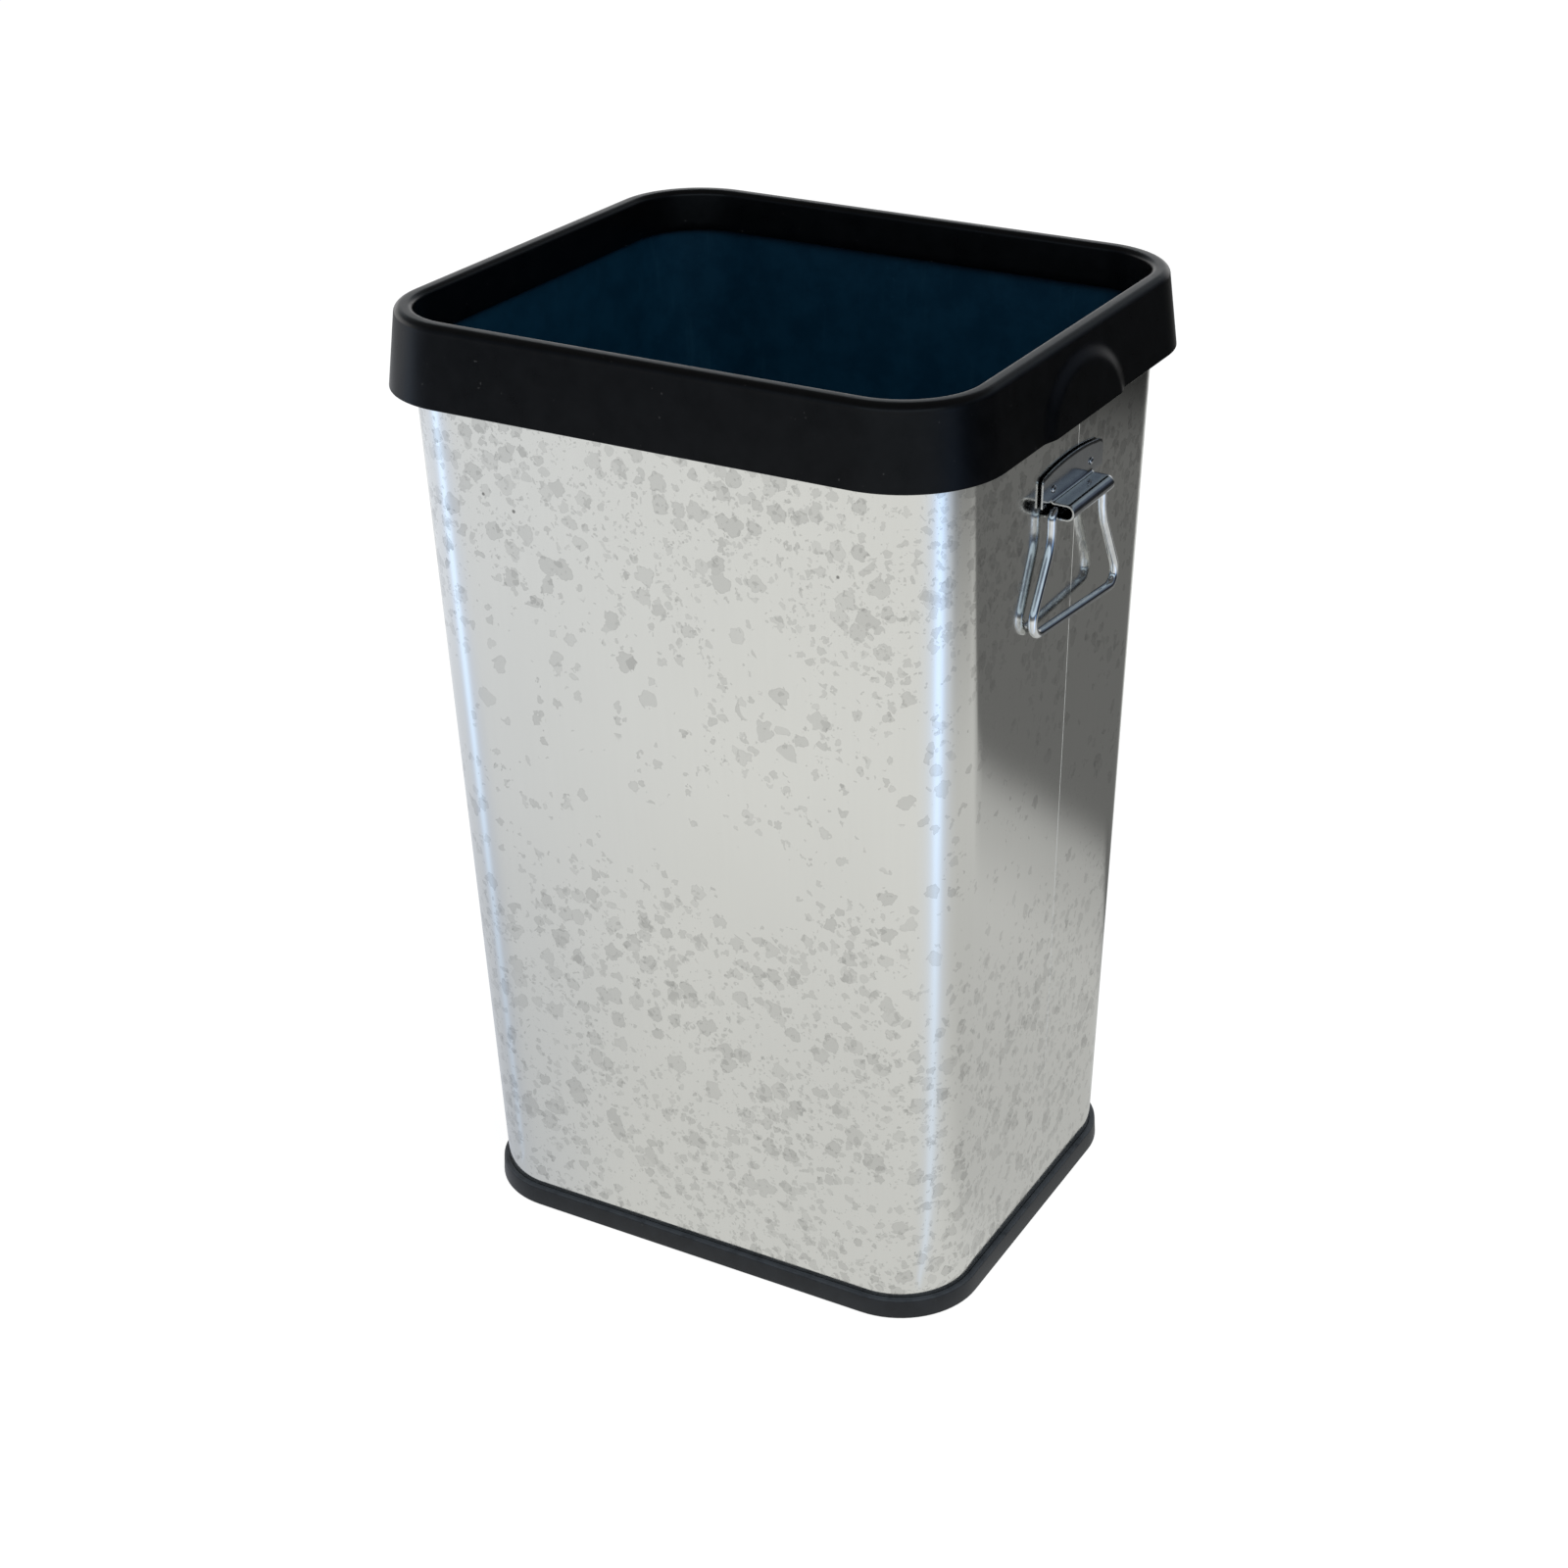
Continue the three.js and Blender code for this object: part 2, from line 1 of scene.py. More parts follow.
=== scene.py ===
import math

import bpy
import numpy as np
from mathutils import Matrix, Vector


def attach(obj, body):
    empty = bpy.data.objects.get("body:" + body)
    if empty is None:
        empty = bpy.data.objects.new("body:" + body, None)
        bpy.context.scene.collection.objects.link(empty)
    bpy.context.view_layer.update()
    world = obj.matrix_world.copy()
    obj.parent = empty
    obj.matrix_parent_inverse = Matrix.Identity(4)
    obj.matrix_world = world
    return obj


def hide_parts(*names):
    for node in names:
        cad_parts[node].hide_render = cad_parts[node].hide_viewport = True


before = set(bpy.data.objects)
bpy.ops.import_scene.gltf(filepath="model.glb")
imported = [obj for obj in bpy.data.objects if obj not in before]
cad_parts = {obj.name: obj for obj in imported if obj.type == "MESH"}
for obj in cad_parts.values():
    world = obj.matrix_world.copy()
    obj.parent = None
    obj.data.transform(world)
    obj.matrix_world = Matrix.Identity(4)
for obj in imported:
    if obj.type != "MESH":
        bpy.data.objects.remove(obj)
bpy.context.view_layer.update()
print("frame loaded")

# Every length in this script is in millimetres until makePiece turns it into metres.
metre = 0.001


# Value between low and high that eases in and out, from 0 to 1.
def eased(value, low, high):
    share = np.clip((value - low) / (high - low), 0, 1)
    return share * share * (3 - 2 * share)


# Points of an arc: centre plus radius times cosine and sine, from one angle to the other.
def arcPoints(centre, radius, fromDegrees, toDegrees, steps):
    angle = np.radians(np.linspace(fromDegrees, toDegrees, steps + 1))
    return np.stack([centre[0] + radius * np.cos(angle), centre[1] + radius * np.sin(angle)], 1)


def linePoints(start, end, steps):
    share = np.linspace(0, 1, steps + 1)[:, None]
    return np.asarray(start, float) + (np.asarray(end, float) - start) * share


# Faces of a grid of points, whose rows and columns may close on themselves.
def gridFaces(rows, columns, closeRows=False, closeColumns=False):
    row = np.arange(rows if closeRows else rows - 1)[:, None]
    column = np.arange(columns if closeColumns else columns - 1)[None]
    nextRow, nextColumn = (row + 1) % rows, (column + 1) % columns
    corners = [
        row * columns + column,
        row * columns + nextColumn,
        nextRow * columns + nextColumn,
        nextRow * columns + column,
    ]
    return np.stack(corners, -1).reshape(-1, 4)


# Faces of a tube of points, closed round, with a flat cap at each end.
def tubeFaces(rows, columns):
    firstCap = np.arange(columns)[None, ::-1]
    lastCap = (np.arange(columns) + (rows - 1) * columns)[None]
    return [gridFaces(rows, columns, closeColumns=True), firstCap, lastCap]


# Volume inside a group of faces: the sum of each fan triangle's triple product, over six.
def insideVolume(points, group):
    corner = points[group]
    total = 0.0
    for step in range(1, group.shape[1] - 1):
        normal = np.cross(corner[:, step], corner[:, step + 1])
        total += np.einsum("ij,ij->", corner[:, 0], normal)
    return total / 6


# Makes one piece from points and groups of faces, and turns the faces outward.
def makePiece(name, points, groups, materials, slots=None, crease=38, closed=True):
    points = np.asarray(points, float).reshape(-1, 3) * metre
    groups = [np.asarray(group) for group in groups]
    if closed and sum(insideVolume(points, group) for group in groups) < 0:
        groups = [group[:, ::-1] for group in groups]
    sizes = np.concatenate([np.full(len(group), group.shape[1]) for group in groups])
    mesh = bpy.data.meshes.new(name)
    mesh.vertices.add(len(points))
    mesh.vertices.foreach_set("co", points.astype(np.float32).ravel())
    mesh.loops.add(int(sizes.sum()))
    mesh.loops.foreach_set("vertex_index", np.concatenate([g.ravel() for g in groups]).astype(np.int32))
    mesh.polygons.add(len(sizes))
    mesh.polygons.foreach_set("loop_start", (np.cumsum(sizes) - sizes).astype(np.int32))
    if slots is not None:
        mesh.polygons.foreach_set("material_index", np.asarray(slots, np.int32))
    mesh.polygons.foreach_set("use_smooth", np.ones(len(sizes), bool))
    for material in materials:
        mesh.materials.append(material)
    mesh.update(calc_edges=True)
    mesh.validate()
    mesh.set_sharp_from_angle(angle=math.radians(crease))
    piece = bpy.data.objects.new(name, mesh)
    bpy.context.scene.collection.objects.link(piece)
    return piece


# Camera, at the photograph's place and angle
cameraView = {
    "place": (751.59, -1308.64, 1047.58),
    "yaw": 27.89,
    "pitch": 27.26,
    "roll": 0.07,
    "focal": 2741.59,
    "middle": (898.31, 807.4),
    "frameSide": 1600,
    "sensor": 36.0,
}


# Looks along a direction given by yaw and pitch, with the sensor shifted to the frame's middle.
def makeCamera(view):
    yaw, pitch, roll = (math.radians(view[key]) for key in ("yaw", "pitch", "roll"))
    forward = Vector((
        -math.sin(yaw) * math.cos(pitch), math.cos(yaw) * math.cos(pitch), -math.sin(pitch),
    ))
    level = forward.cross(Vector((0, 0, 1))).normalized()
    upright = level.cross(forward)
    right = level * math.cos(roll) + upright * math.sin(roll)
    up = upright * math.cos(roll) - level * math.sin(roll)
    camera = bpy.data.cameras.new("photoCamera")
    camera.sensor_width = view["sensor"]
    camera.lens = view["focal"] / view["frameSide"] * view["sensor"]
    camera.shift_x = 0.5 - view["middle"][0] / view["frameSide"]
    camera.shift_y = view["middle"][1] / view["frameSide"] - 0.5
    camera.clip_end = 100
    seat = bpy.data.objects.new("photoCamera", camera)
    turn = Matrix((right, up, -forward)).transposed().to_4x4()
    seat.matrix_world = Matrix.Translation(Vector(view["place"]) * metre) @ turn
    bpy.context.scene.collection.objects.link(seat)
    bpy.context.scene.camera = seat


makeCamera(cameraView)
print("camera set")


# Adds a node. A value that is another node's socket is linked, and any other value is set.
def addNode(tree, kind, inputs=None, **options):
    node = tree.nodes.new(kind)
    for key, value in options.items():
        setattr(node, key, value)
    for key, value in (inputs or {}).items():
        if isinstance(value, bpy.types.NodeSocket):
            tree.links.new(value, node.inputs[key])
        else:
            node.inputs[key].default_value = value
    return node


def calc(tree, operation, *values):
    return addNode(tree, "ShaderNodeMath", dict(enumerate(values)), operation=operation).outputs[0]


def vectorCalc(tree, operation, *values):
    inputs = dict(enumerate(values))
    return addNode(tree, "ShaderNodeVectorMath", inputs, operation=operation).outputs["Vector"]


# Share from 0 to 1 as a value passes from low to high, eased at both ends.
def passing(tree, value, low, high):
    inputs = {"Value": value, "From Min": low, "From Max": high}
    node = addNode(tree, "ShaderNodeMapRange", inputs, interpolation_type="SMOOTHSTEP")
    return node.outputs["Result"]


def noiseAt(tree, place, scale, detail=2.0, roughness=0.5, distortion=0.0):
    inputs = {
        "Vector": place, "Scale": scale, "Detail": detail,
        "Roughness": roughness, "Distortion": distortion,
    }
    return addNode(tree, "ShaderNodeTexNoise", inputs).outputs["Fac"]


def blendColours(tree, share, first, second):
    inputs = {0: share, 6: first, 7: second}
    return addNode(tree, "ShaderNodeMix", inputs, data_type="RGBA").outputs[2]


def opaque(tint):
    return (*tint, 1)


# A finish's deep and light tints, blended as a noise passes from low to high.
def cloudedColour(tree, cloud, look, low, high):
    return blendColours(tree, passing(tree, cloud, low, high), opaque(look["deep"]), opaque(look["light"]))


# Object coordinates in millimetres, moved and stretched if asked.
def millimetres(tree, shift=(0, 0, 0), stretch=(1, 1, 1)):
    place = addNode(tree, "ShaderNodeTexCoord").outputs["Object"]
    scale = tuple(1000 * share for share in stretch)
    inputs = {"Vector": place, "Location": shift, "Scale": scale}
    return addNode(tree, "ShaderNodeMapping", inputs).outputs["Vector"]


def newMaterial(name, settings):
    material = bpy.data.materials.new(name)
    material.use_nodes = True
    shader = material.node_tree.nodes["Principled BSDF"]
    for key, value in settings.items():
        shader.inputs[key].default_value = value
    return material, material.node_tree, shader


def addBump(tree, shader, height, strength, distance):
    inputs = {"Height": height, "Strength": strength, "Distance": distance * metre}
    bump = addNode(tree, "ShaderNodeBump", inputs)
    tree.links.new(bump.outputs["Normal"], shader.inputs["Normal"])


galvanizedLook = {
    "sheet": (0.75, 0.75, 0.722),
    "roughness": 0.10,
    "upperBand": (390, 510),
    "lowerBand": (330, 150),
    "bandCrowd": 0.46,
    "middleCrowd": -0.26,
    "clusterSize": 0.017,
    "clusterCrowd": 1.5,
    "wobbleSize": 0.20,
    "wobble": 9.0,
    "driftSize": 0.009,
    "drift": 0.05,
    "rolledSize": 0.35,
    "rolled": 0.03,
    "blobs": [
        {"pitch": 12.5, "chance": 0.48, "small": 0.24, "large": 0.56, "shade": 0.19, "shift": (0, 0, 0)},
        {"pitch": 6.5, "chance": 0.42, "small": 0.22, "large": 0.56, "shade": 0.18, "shift": (40, 90, 20)},
        {"pitch": 3.2, "chance": 0.28, "small": 0.16, "large": 0.42, "shade": 0.19, "shift": (90, 10, 60)},
    ],
    "rimShade": 0.05,
    "pitShade": 0.35,
    "pits": [(-93, -154.3, 495, 1.5), (-113, -154.6, 502, 1.3), (115, -154.4, 496, 1.3)],
}


# Blobs: a share of Voronoi cells holds one, inside a radius that each cell draws, with a thin
# darker rim. A noise moves the coordinates first, so that the outlines turn out lobed.
def blobShade(tree, place, crowd, blob, rimShade):
    cells = addNode(tree, "ShaderNodeTexVoronoi", {
        "Vector": vectorCalc(tree, "ADD", place, blob["shift"]),
        "Scale": 1 / blob["pitch"],
        "Randomness": 0.9,
    })
    drawn = addNode(tree, "ShaderNodeSeparateColor", {0: cells.outputs["Color"]})
    chance = calc(tree, "SUBTRACT", calc(tree, "ADD", crowd, blob["chance"]), drawn.outputs["Red"])
    radius = calc(tree, "MULTIPLY_ADD", drawn.outputs["Green"], blob["large"] - blob["small"], blob["small"])
    over = calc(tree, "SUBTRACT", radius, cells.outputs["Distance"])
    inside = calc(tree, "MULTIPLY", passing(tree, over, 0.0, 0.035), passing(tree, chance, 0.0, 0.01))
    core = passing(tree, over, 0.03, 0.12)
    depth = calc(tree, "MULTIPLY_ADD", drawn.outputs["Blue"], -0.5, 1.0)
    shade = calc(tree, "MULTIPLY", calc(tree, "MULTIPLY", inside, depth), blob["shade"])
    rim = calc(tree, "MULTIPLY", calc(tree, "MULTIPLY", inside, calc(tree, "SUBTRACT", 1.0, core)), rimShade)
    return inside, calc(tree, "SUBTRACT", 1.0, calc(tree, "ADD", shade, rim))


# Spangle: three sizes of darker blobs, more of them where a slow noise is high and towards the
# rim and the foot, over a drifting tone with faint lines along the rolling direction.
def galvanizedMaterial(look):
    material, tree, shader = newMaterial("galvanizedSheet", {"Metallic": 1.0})
    place = millimetres(tree)
    height = addNode(tree, "ShaderNodeSeparateXYZ", {0: place}).outputs["Z"]
    bands = [passing(tree, height, *look[band]) for band in ("upperBand", "lowerBand")]
    crowd = calc(tree, "MULTIPLY_ADD", calc(tree, "MAXIMUM", *bands), look["bandCrowd"], look["middleCrowd"])
    cluster = calc(tree, "SUBTRACT", noiseAt(tree, place, look["clusterSize"], 2.0), 0.5)
    crowd = calc(tree, "MULTIPLY_ADD", cluster, look["clusterCrowd"], crowd)

    wobble = {"Vector": place, "Scale": look["wobbleSize"], "Detail": 3.0}
    wander = addNode(tree, "ShaderNodeTexNoise", wobble)
    wander = vectorCalc(tree, "SUBTRACT", wander.outputs["Color"], (0.5, 0.5, 0.5))
    lobed = vectorCalc(tree, "MULTIPLY_ADD", wander, (look["wobble"],) * 3, place)

    drift = noiseAt(tree, place, look["driftSize"], 2.0)
    rolled = noiseAt(tree, millimetres(tree, stretch=(1, 1, 0.03)), look["rolledSize"], 2.0)
    shade = calc(tree, "MULTIPLY_ADD", drift, look["drift"], 0.985)
    shade = calc(tree, "MULTIPLY_ADD", calc(tree, "SUBTRACT", rolled, 0.5), look["rolled"], shade)
    covered = 0.0
    for blob in look["blobs"]:
        inside, blobTone = blobShade(tree, lobed, crowd, blob, look["rimShade"])
        shade = calc(tree, "MULTIPLY", shade, blobTone)
        covered = calc(tree, "MAXIMUM", inside, covered)
    for x, y, z, radius in look["pits"]:
        away = addNode(tree, "ShaderNodeVectorMath", {0: place, 1: (x, y, z)}, operation="DISTANCE")
        inside = passing(tree, away.outputs["Value"], radius, radius * 0.5)
        shade = calc(tree, "MULTIPLY", shade, calc(tree, "MULTIPLY_ADD", inside, look["pitShade"] - 1, 1.0))

    colour = addNode(tree, "ShaderNodeVectorMath", {0: look["sheet"], "Scale": shade}, operation="SCALE")
    tree.links.new(colour.outputs[0], shader.inputs["Base Color"])
    grain = noiseAt(tree, place, 0.5, 3.0, 0.6)
    rough = calc(tree, "MULTIPLY_ADD", covered, 0.06, look["roughness"])
    rough = calc(tree, "MULTIPLY_ADD", calc(tree, "SUBTRACT", grain, 0.5), 0.06, rough)
    tree.links.new(rough, shader.inputs["Roughness"])
    relief = calc(tree, "MULTIPLY_ADD", grain, 0.25, calc(tree, "MULTIPLY", covered, -0.5))
    addBump(tree, shader, relief, 0.2, 0.02)
    return material


navyLook = {
    "deep": (0.0010, 0.0125, 0.027),
    "light": (0.0018, 0.0175, 0.036),
    "scuff": (0.010, 0.036, 0.060),
    "roughness": 0.40,
}


# Dark navy inside: two navy tones blended by a slow noise, with thin pale scuffs where a stretched noise
# passes a high threshold.
def navyMaterial(look):
    material, tree, shader = newMaterial("navyInside", {"Specular IOR Level": 0.12})
    place = millimetres(tree)
    cloud = noiseAt(tree, place, 0.05, 6.0, 0.7)
    colour = cloudedColour(tree, cloud, look, 0.34, 0.66)
    runs = noiseAt(tree, millimetres(tree, (3, 5, 0), (1, 1, 0.12)), 0.16, 3.0, 0.6)
    runShare = calc(tree, "MULTIPLY", passing(tree, runs, 0.58, 0.72), 0.16)
    colour = blendColours(tree, runShare, colour, opaque(look["scuff"]))
    specks = noiseAt(tree, place, 0.42, 2.0, 0.6, 0.8)
    patches = passing(tree, noiseAt(tree, place, 0.03, 2.0), 0.5, 0.62)
    scuffShare = calc(tree, "MULTIPLY", passing(tree, specks, 0.66, 0.7), patches)
    scuffShare = calc(tree, "MULTIPLY", scuffShare, 0.3)
    colour = blendColours(tree, scuffShare, colour, opaque(look["scuff"]))
    tree.links.new(colour, shader.inputs["Base Color"])
    rough = calc(tree, "MULTIPLY_ADD", cloud, 0.2, look["roughness"] - 0.1)
    tree.links.new(rough, shader.inputs["Roughness"])
    addBump(tree, shader, cloud, 0.15, 0.05)
    return material


# Moulded plastic: near-black with slow mottling, a fine pebble in the bump and rare dust specks, and a thin
# grey painted highlight above a height on a ledge, broken up by the mottling.
def plasticMaterial(name, look):
    material, tree, shader = newMaterial(name, {"Specular IOR Level": look["specular"]})
    place = millimetres(tree)
    cloud = noiseAt(tree, place, 0.08, 5.0, 0.65)
    colour = cloudedColour(tree, cloud, look, 0.3, 0.7)
    speck = passing(tree, noiseAt(tree, place, 0.5, 0.0), 0.86, 0.88)
    colour = blendColours(tree, calc(tree, "MULTIPLY", speck, 0.5), colour, opaque(look["speck"]))
    # Painted highlight: above the given height the ledge is blended towards a pale grey that stands in for
    # light caught along it.
    if "ledge" in look:
        height = addNode(tree, "ShaderNodeSeparateXYZ", {0: place}).outputs["Z"]
        ledgeLit = calc(tree, "MULTIPLY", passing(tree, height, *look["ledge"]), passing(tree, cloud, 0.1, 0.6))
        colour = blendColours(tree, ledgeLit, colour, opaque(look["ledgeHighlight"]))
    tree.links.new(colour, shader.inputs["Base Color"])
    pebble = noiseAt(tree, place, 1.6, 2.0, 0.6)
    rough = calc(tree, "MULTIPLY_ADD", cloud, 0.16, look["roughness"] - 0.08)
    tree.links.new(rough, shader.inputs["Roughness"])
    relief = calc(tree, "MULTIPLY_ADD", cloud, 0.6, pebble)
    addBump(tree, shader, relief, look["pebble"], 0.05)
    return material


collarLook = {
    "deep": (0.0003, 0.0004, 0.0006),
    "light": (0.0007, 0.0008, 0.0012),
    "roughness": 0.30,
    "specular": 0.32,
    "pebble": 0.22,
    "speck": (0.05, 0.05, 0.05),
}
footLook = {
    "deep": (0.0070, 0.0084, 0.0106),
    "light": (0.0110, 0.0132, 0.0164),
    "roughness": 0.42,
    "specular": 0.28,
    "pebble": 0.25,
    "speck": (0.05, 0.05, 0.05),
    # The ledge's heights and the grey of its painted highlight along the ring's top
    "ledge": (12.3, 13.1),
    "ledgeHighlight": (0.040, 0.046, 0.053),
}


# Bright metal: a base colour clouded by a slow noise, with fine lines along the sheet or wire.
def brightMaterial(name, look):
    material, tree, shader = newMaterial(name, {"Metallic": 1.0})
    place = millimetres(tree)
    cloud = noiseAt(tree, place, look["cloudSize"], 4.0, 0.6)
    lines = noiseAt(tree, millimetres(tree, stretch=look["lineStretch"]), look["lineSize"], 2.0)
    colour = cloudedColour(tree, cloud, look, 0.35, 0.65)
    tree.links.new(colour, shader.inputs["Base Color"])
    rough = calc(tree, "MULTIPLY_ADD", cloud, look["roughness"], look["roughness"] * 0.5)
    tree.links.new(rough, shader.inputs["Roughness"])
    relief = calc(tree, "MULTIPLY_ADD", lines, 0.6, cloud)
    addBump(tree, shader, relief, look["relief"], 0.03)
    return material


zincLook = {
    "deep": (0.56, 0.58, 0.60),
    "light": (0.64, 0.66, 0.68),
    "roughness": 0.15,
    "cloudSize": 0.10,
    "lineSize": 0.8,
    "lineStretch": (1, 0.08, 1),
    "relief": 0.08,
}
cutEdgeLook = {
    "deep": (0.60, 0.61, 0.61),
    "light": (0.74, 0.75, 0.75),
    "roughness": 0.26,
    "cloudSize": 0.5,
    "lineSize": 1.5,
    "lineStretch": (1, 1, 1),
    "relief": 0.3,
}
wireLook = {
    "deep": (0.70, 0.72, 0.74),
    "light": (0.80, 0.82, 0.83),
    "roughness": 0.09,
    "cloudSize": 0.2,
    "lineSize": 1.2,
    "lineStretch": (1, 1, 0.1),
    "relief": 0.015,
}

galvanized = galvanizedMaterial(galvanizedLook)
navyInterior = navyMaterial(navyLook)
collarPlastic = plasticMaterial("collarPlastic", collarLook)
footPlastic = plasticMaterial("footPlastic", footLook)
zinc = brightMaterial("zincPlate", zincLook)
cutEdge = brightMaterial("cutEdge", cutEdgeLook)
brightWire = brightMaterial("brightWire", wireLook)
print("materials made")


# The body's rounded rectangle: half lengths and corner radius at the floor and at the rim
body = {
    "height": 600.0,
    "floor": (167.6, 134.6, 48.1),
    "rim": (178.2, 158.4, 47.5),
    "gap": 0.3,
}


# Half lengths and corner radius at a height: each runs straight from its floor to its rim value.
def sectionAt(z):
    share = np.asarray(z, float) / body["height"]
    return [low + (high - low) * share for low, high in zip(body["floor"], body["rim"])]


# A corner's stations, a quarter turn from its first angle. A station holds its shares of the half
# lengths between corner centres, a fixed shift along Y, and its outward direction.
def cornerStations(signX, signY, firstAngle, steps):
    angle = np.radians(firstAngle + np.linspace(0, 90, steps + 1))
    still = np.ones_like(angle)
    return np.stack([signX * still, signY * still, 0 * still, np.cos(angle), np.sin(angle)])


# A straight side's stations between two corner centres, at shares of the way that leave out both
# ends, and the angle of its outward direction.
def sideStations(start, end, angle, share):
    still = np.ones_like(share)
    return np.stack([
        start[0] + (end[0] - start[0]) * share,
        start[1] + (end[1] - start[1]) * share,
        0 * still,
        math.cos(math.radians(angle)) * still,
        math.sin(math.radians(angle)) * still,
    ])


def inner(steps):
    return np.arange(1, steps) / steps


# Stations all the way round, from the right back corner by the back, left, front and right sides.
def roundStations(cornerSteps, longSteps, shortSteps):
    corners = [(1, 1, 0), (-1, 1, 90), (-1, -1, 180), (1, -1, 270)]
    parts = []
    for index, (signX, signY, angle) in enumerate(corners):
        nextX, nextY = corners[(index + 1) % 4][:2]
        steps = longSteps if index % 2 == 0 else shortSteps
        parts.append(cornerStations(signX, signY, angle, cornerSteps))
        parts.append(sideStations((signX, signY), (nextX, nextY), angle + 90, inner(steps)))
    return np.concatenate(parts, 1)


# Points at offsets from the body's face: the corner centre plus the outward direction times the
# corner radius and the offset.
def carried(stations, offset, z, section=None):
    halfX, halfY, corner = sectionAt(z) if section is None else section
    shareX, shareY, shiftY, outX, outY = stations
    x = shareX * (halfX - corner) + outX * (corner + offset)
    y = shareY * (halfY - corner) + shiftY + outY * (corner + offset)
    return np.stack(np.broadcast_arrays(x, y, z), -1)


wall = {
    "sheet": 0.6,
    "bottom": 2.7,
    "top": 597.2,
    "notchTop": 14.0,
    "seamY": 16.0,
    "lapWidth": 10.0,
    "leafStep": 0.2,
    "joggle": 0.35,
    "seamGap": 0.12,
    "hemDepth": 7.0,
    "frontWave": 0.21,
    "sideWave": 0.12,
    "rows": 60,
    "cornerSteps": 20,
    "longSteps": 40,
    "shortSteps": 32,
    "tuckSteps": 6,
    "risingSteps": 16,
    "closingSteps": 18,
}


# Unevenness of the rolled sheet: three slow sine waves added up, fading to nothing at the
# corners, the foot and the rim, and round the brackets on the sides.
def sheetWave(points, stations, z):
    halfX, halfY, corner = sectionAt(z)
    x, y = points[..., 0], points[..., 1]
    turnX, turnY = np.abs(stations[3]), np.abs(stations[4])
    flatX = np.clip(1 - (x / (halfX - corner)) ** 2, 0, 1) * turnY
    flatY = np.clip(1 - (y / (halfY - corner)) ** 2, 0, 1) * turnX
    lowFade = eased(z, 20, 110)
    frontFade = lowFade * (1 - eased(z, 490, 550))
    sideFade = lowFade * (1 - eased(z, 360, 440))
    along = x * turnY + y * turnX
    wave = np.sin(along / 34 + z / 61 + 0.4) + 0.6 * np.sin(along / 23 - z / 47 + 2.1)
    wave = wave + 0.5 * np.sin(z / 29 + along / 80 + 1.0)
    reach = wall["frontWave"] * flatX * frontFade + wall["sideWave"] * flatY * sideFade
    return reach / 2 * wave


# Closed outline of the sheet as (offset, height): up the outer face, out and down round the hem,
# back over its top and down the inner face. The plain outline has the same points without a hem.
def wallOutlines():
    sheet, top, hemLow = wall["sheet"], wall["top"], wall["top"] - wall["hemDepth"]
    gap = body["gap"]
    fold = (gap + sheet + sheet) / 2
    foldZ = top - fold
    middle = gap / 2
    outer = linePoints((0, wall["bottom"]), (0, hemLow), wall["rows"])
    hem = np.concatenate([
        outer,
        linePoints((0, hemLow), (0, foldZ), 3)[1:-1],
        arcPoints((middle, foldZ), middle, 180, 0, 4),
        linePoints((gap, foldZ), (gap, hemLow), 3)[1:],
        linePoints((gap + sheet, hemLow), (gap + sheet, foldZ), 3)[:-1],
        arcPoints((middle, foldZ), fold, 0, 180, 10),
    ])
    tip = sheet / 2
    extra = len(hem) - len(outer)
    crown = arcPoints((-tip, top - tip), tip, 0, 180, 6)
    rise = linePoints((0, hemLow), (0, top - tip), extra - len(crown) + 1)[1:]
    plain = np.concatenate([outer, rise, crown])[:len(hem) - 1]
    plain = np.concatenate([plain, crown[-1:]])
    inside = linePoints((-sheet, foldZ), (-sheet, wall["bottom"]), wall["rows"])[1:]
    return np.concatenate([hem, inside]), np.concatenate([plain, inside])


# Path of the wrapped sheet: from the tucked leaf's end, out through the joggle, right round the
# body and back to the seam.
def wallStations():
    tucked = np.array([-wall["lapWidth"], -0.5 * wall["lapWidth"], -wall["leafStep"]])
    climb = np.linspace(0, wall["joggle"], wall["tuckSteps"] + 1)
    leafY = wall["seamY"] + np.concatenate([tucked, climb])
    still = np.ones_like(leafY)
    leaf = np.stack([still, 0 * still, leafY, still, 0 * still])
    startY = leafY[-1]
    share = inner(wall["risingSteps"])
    rising = sideStations((1, 0), (1, 1), 0, share)
    rising[2] = startY * (1 - share)
    ringPart = roundStations(wall["cornerSteps"], wall["longSteps"], wall["shortSteps"])
    ringPart = ringPart[:, :ringPart.shape[1] - len(inner(wall["shortSteps"]))]
    share = inner(wall["closingSteps"])
    closing = sideStations((1, -1), (1, 0), 0, share)
    endY = wall["seamY"] - wall["seamGap"]
    closing[2] = endY * share
    last = np.array([[1], [0], [endY], [1], [0]], float)
    stations = np.concatenate([leaf, rising, ringPart, closing, last], 1)
    drop = np.zeros(stations.shape[1])
    drop[:len(leafY)] = 1 - eased(leafY - wall["seamY"], 0, wall["joggle"])
    return stations, drop


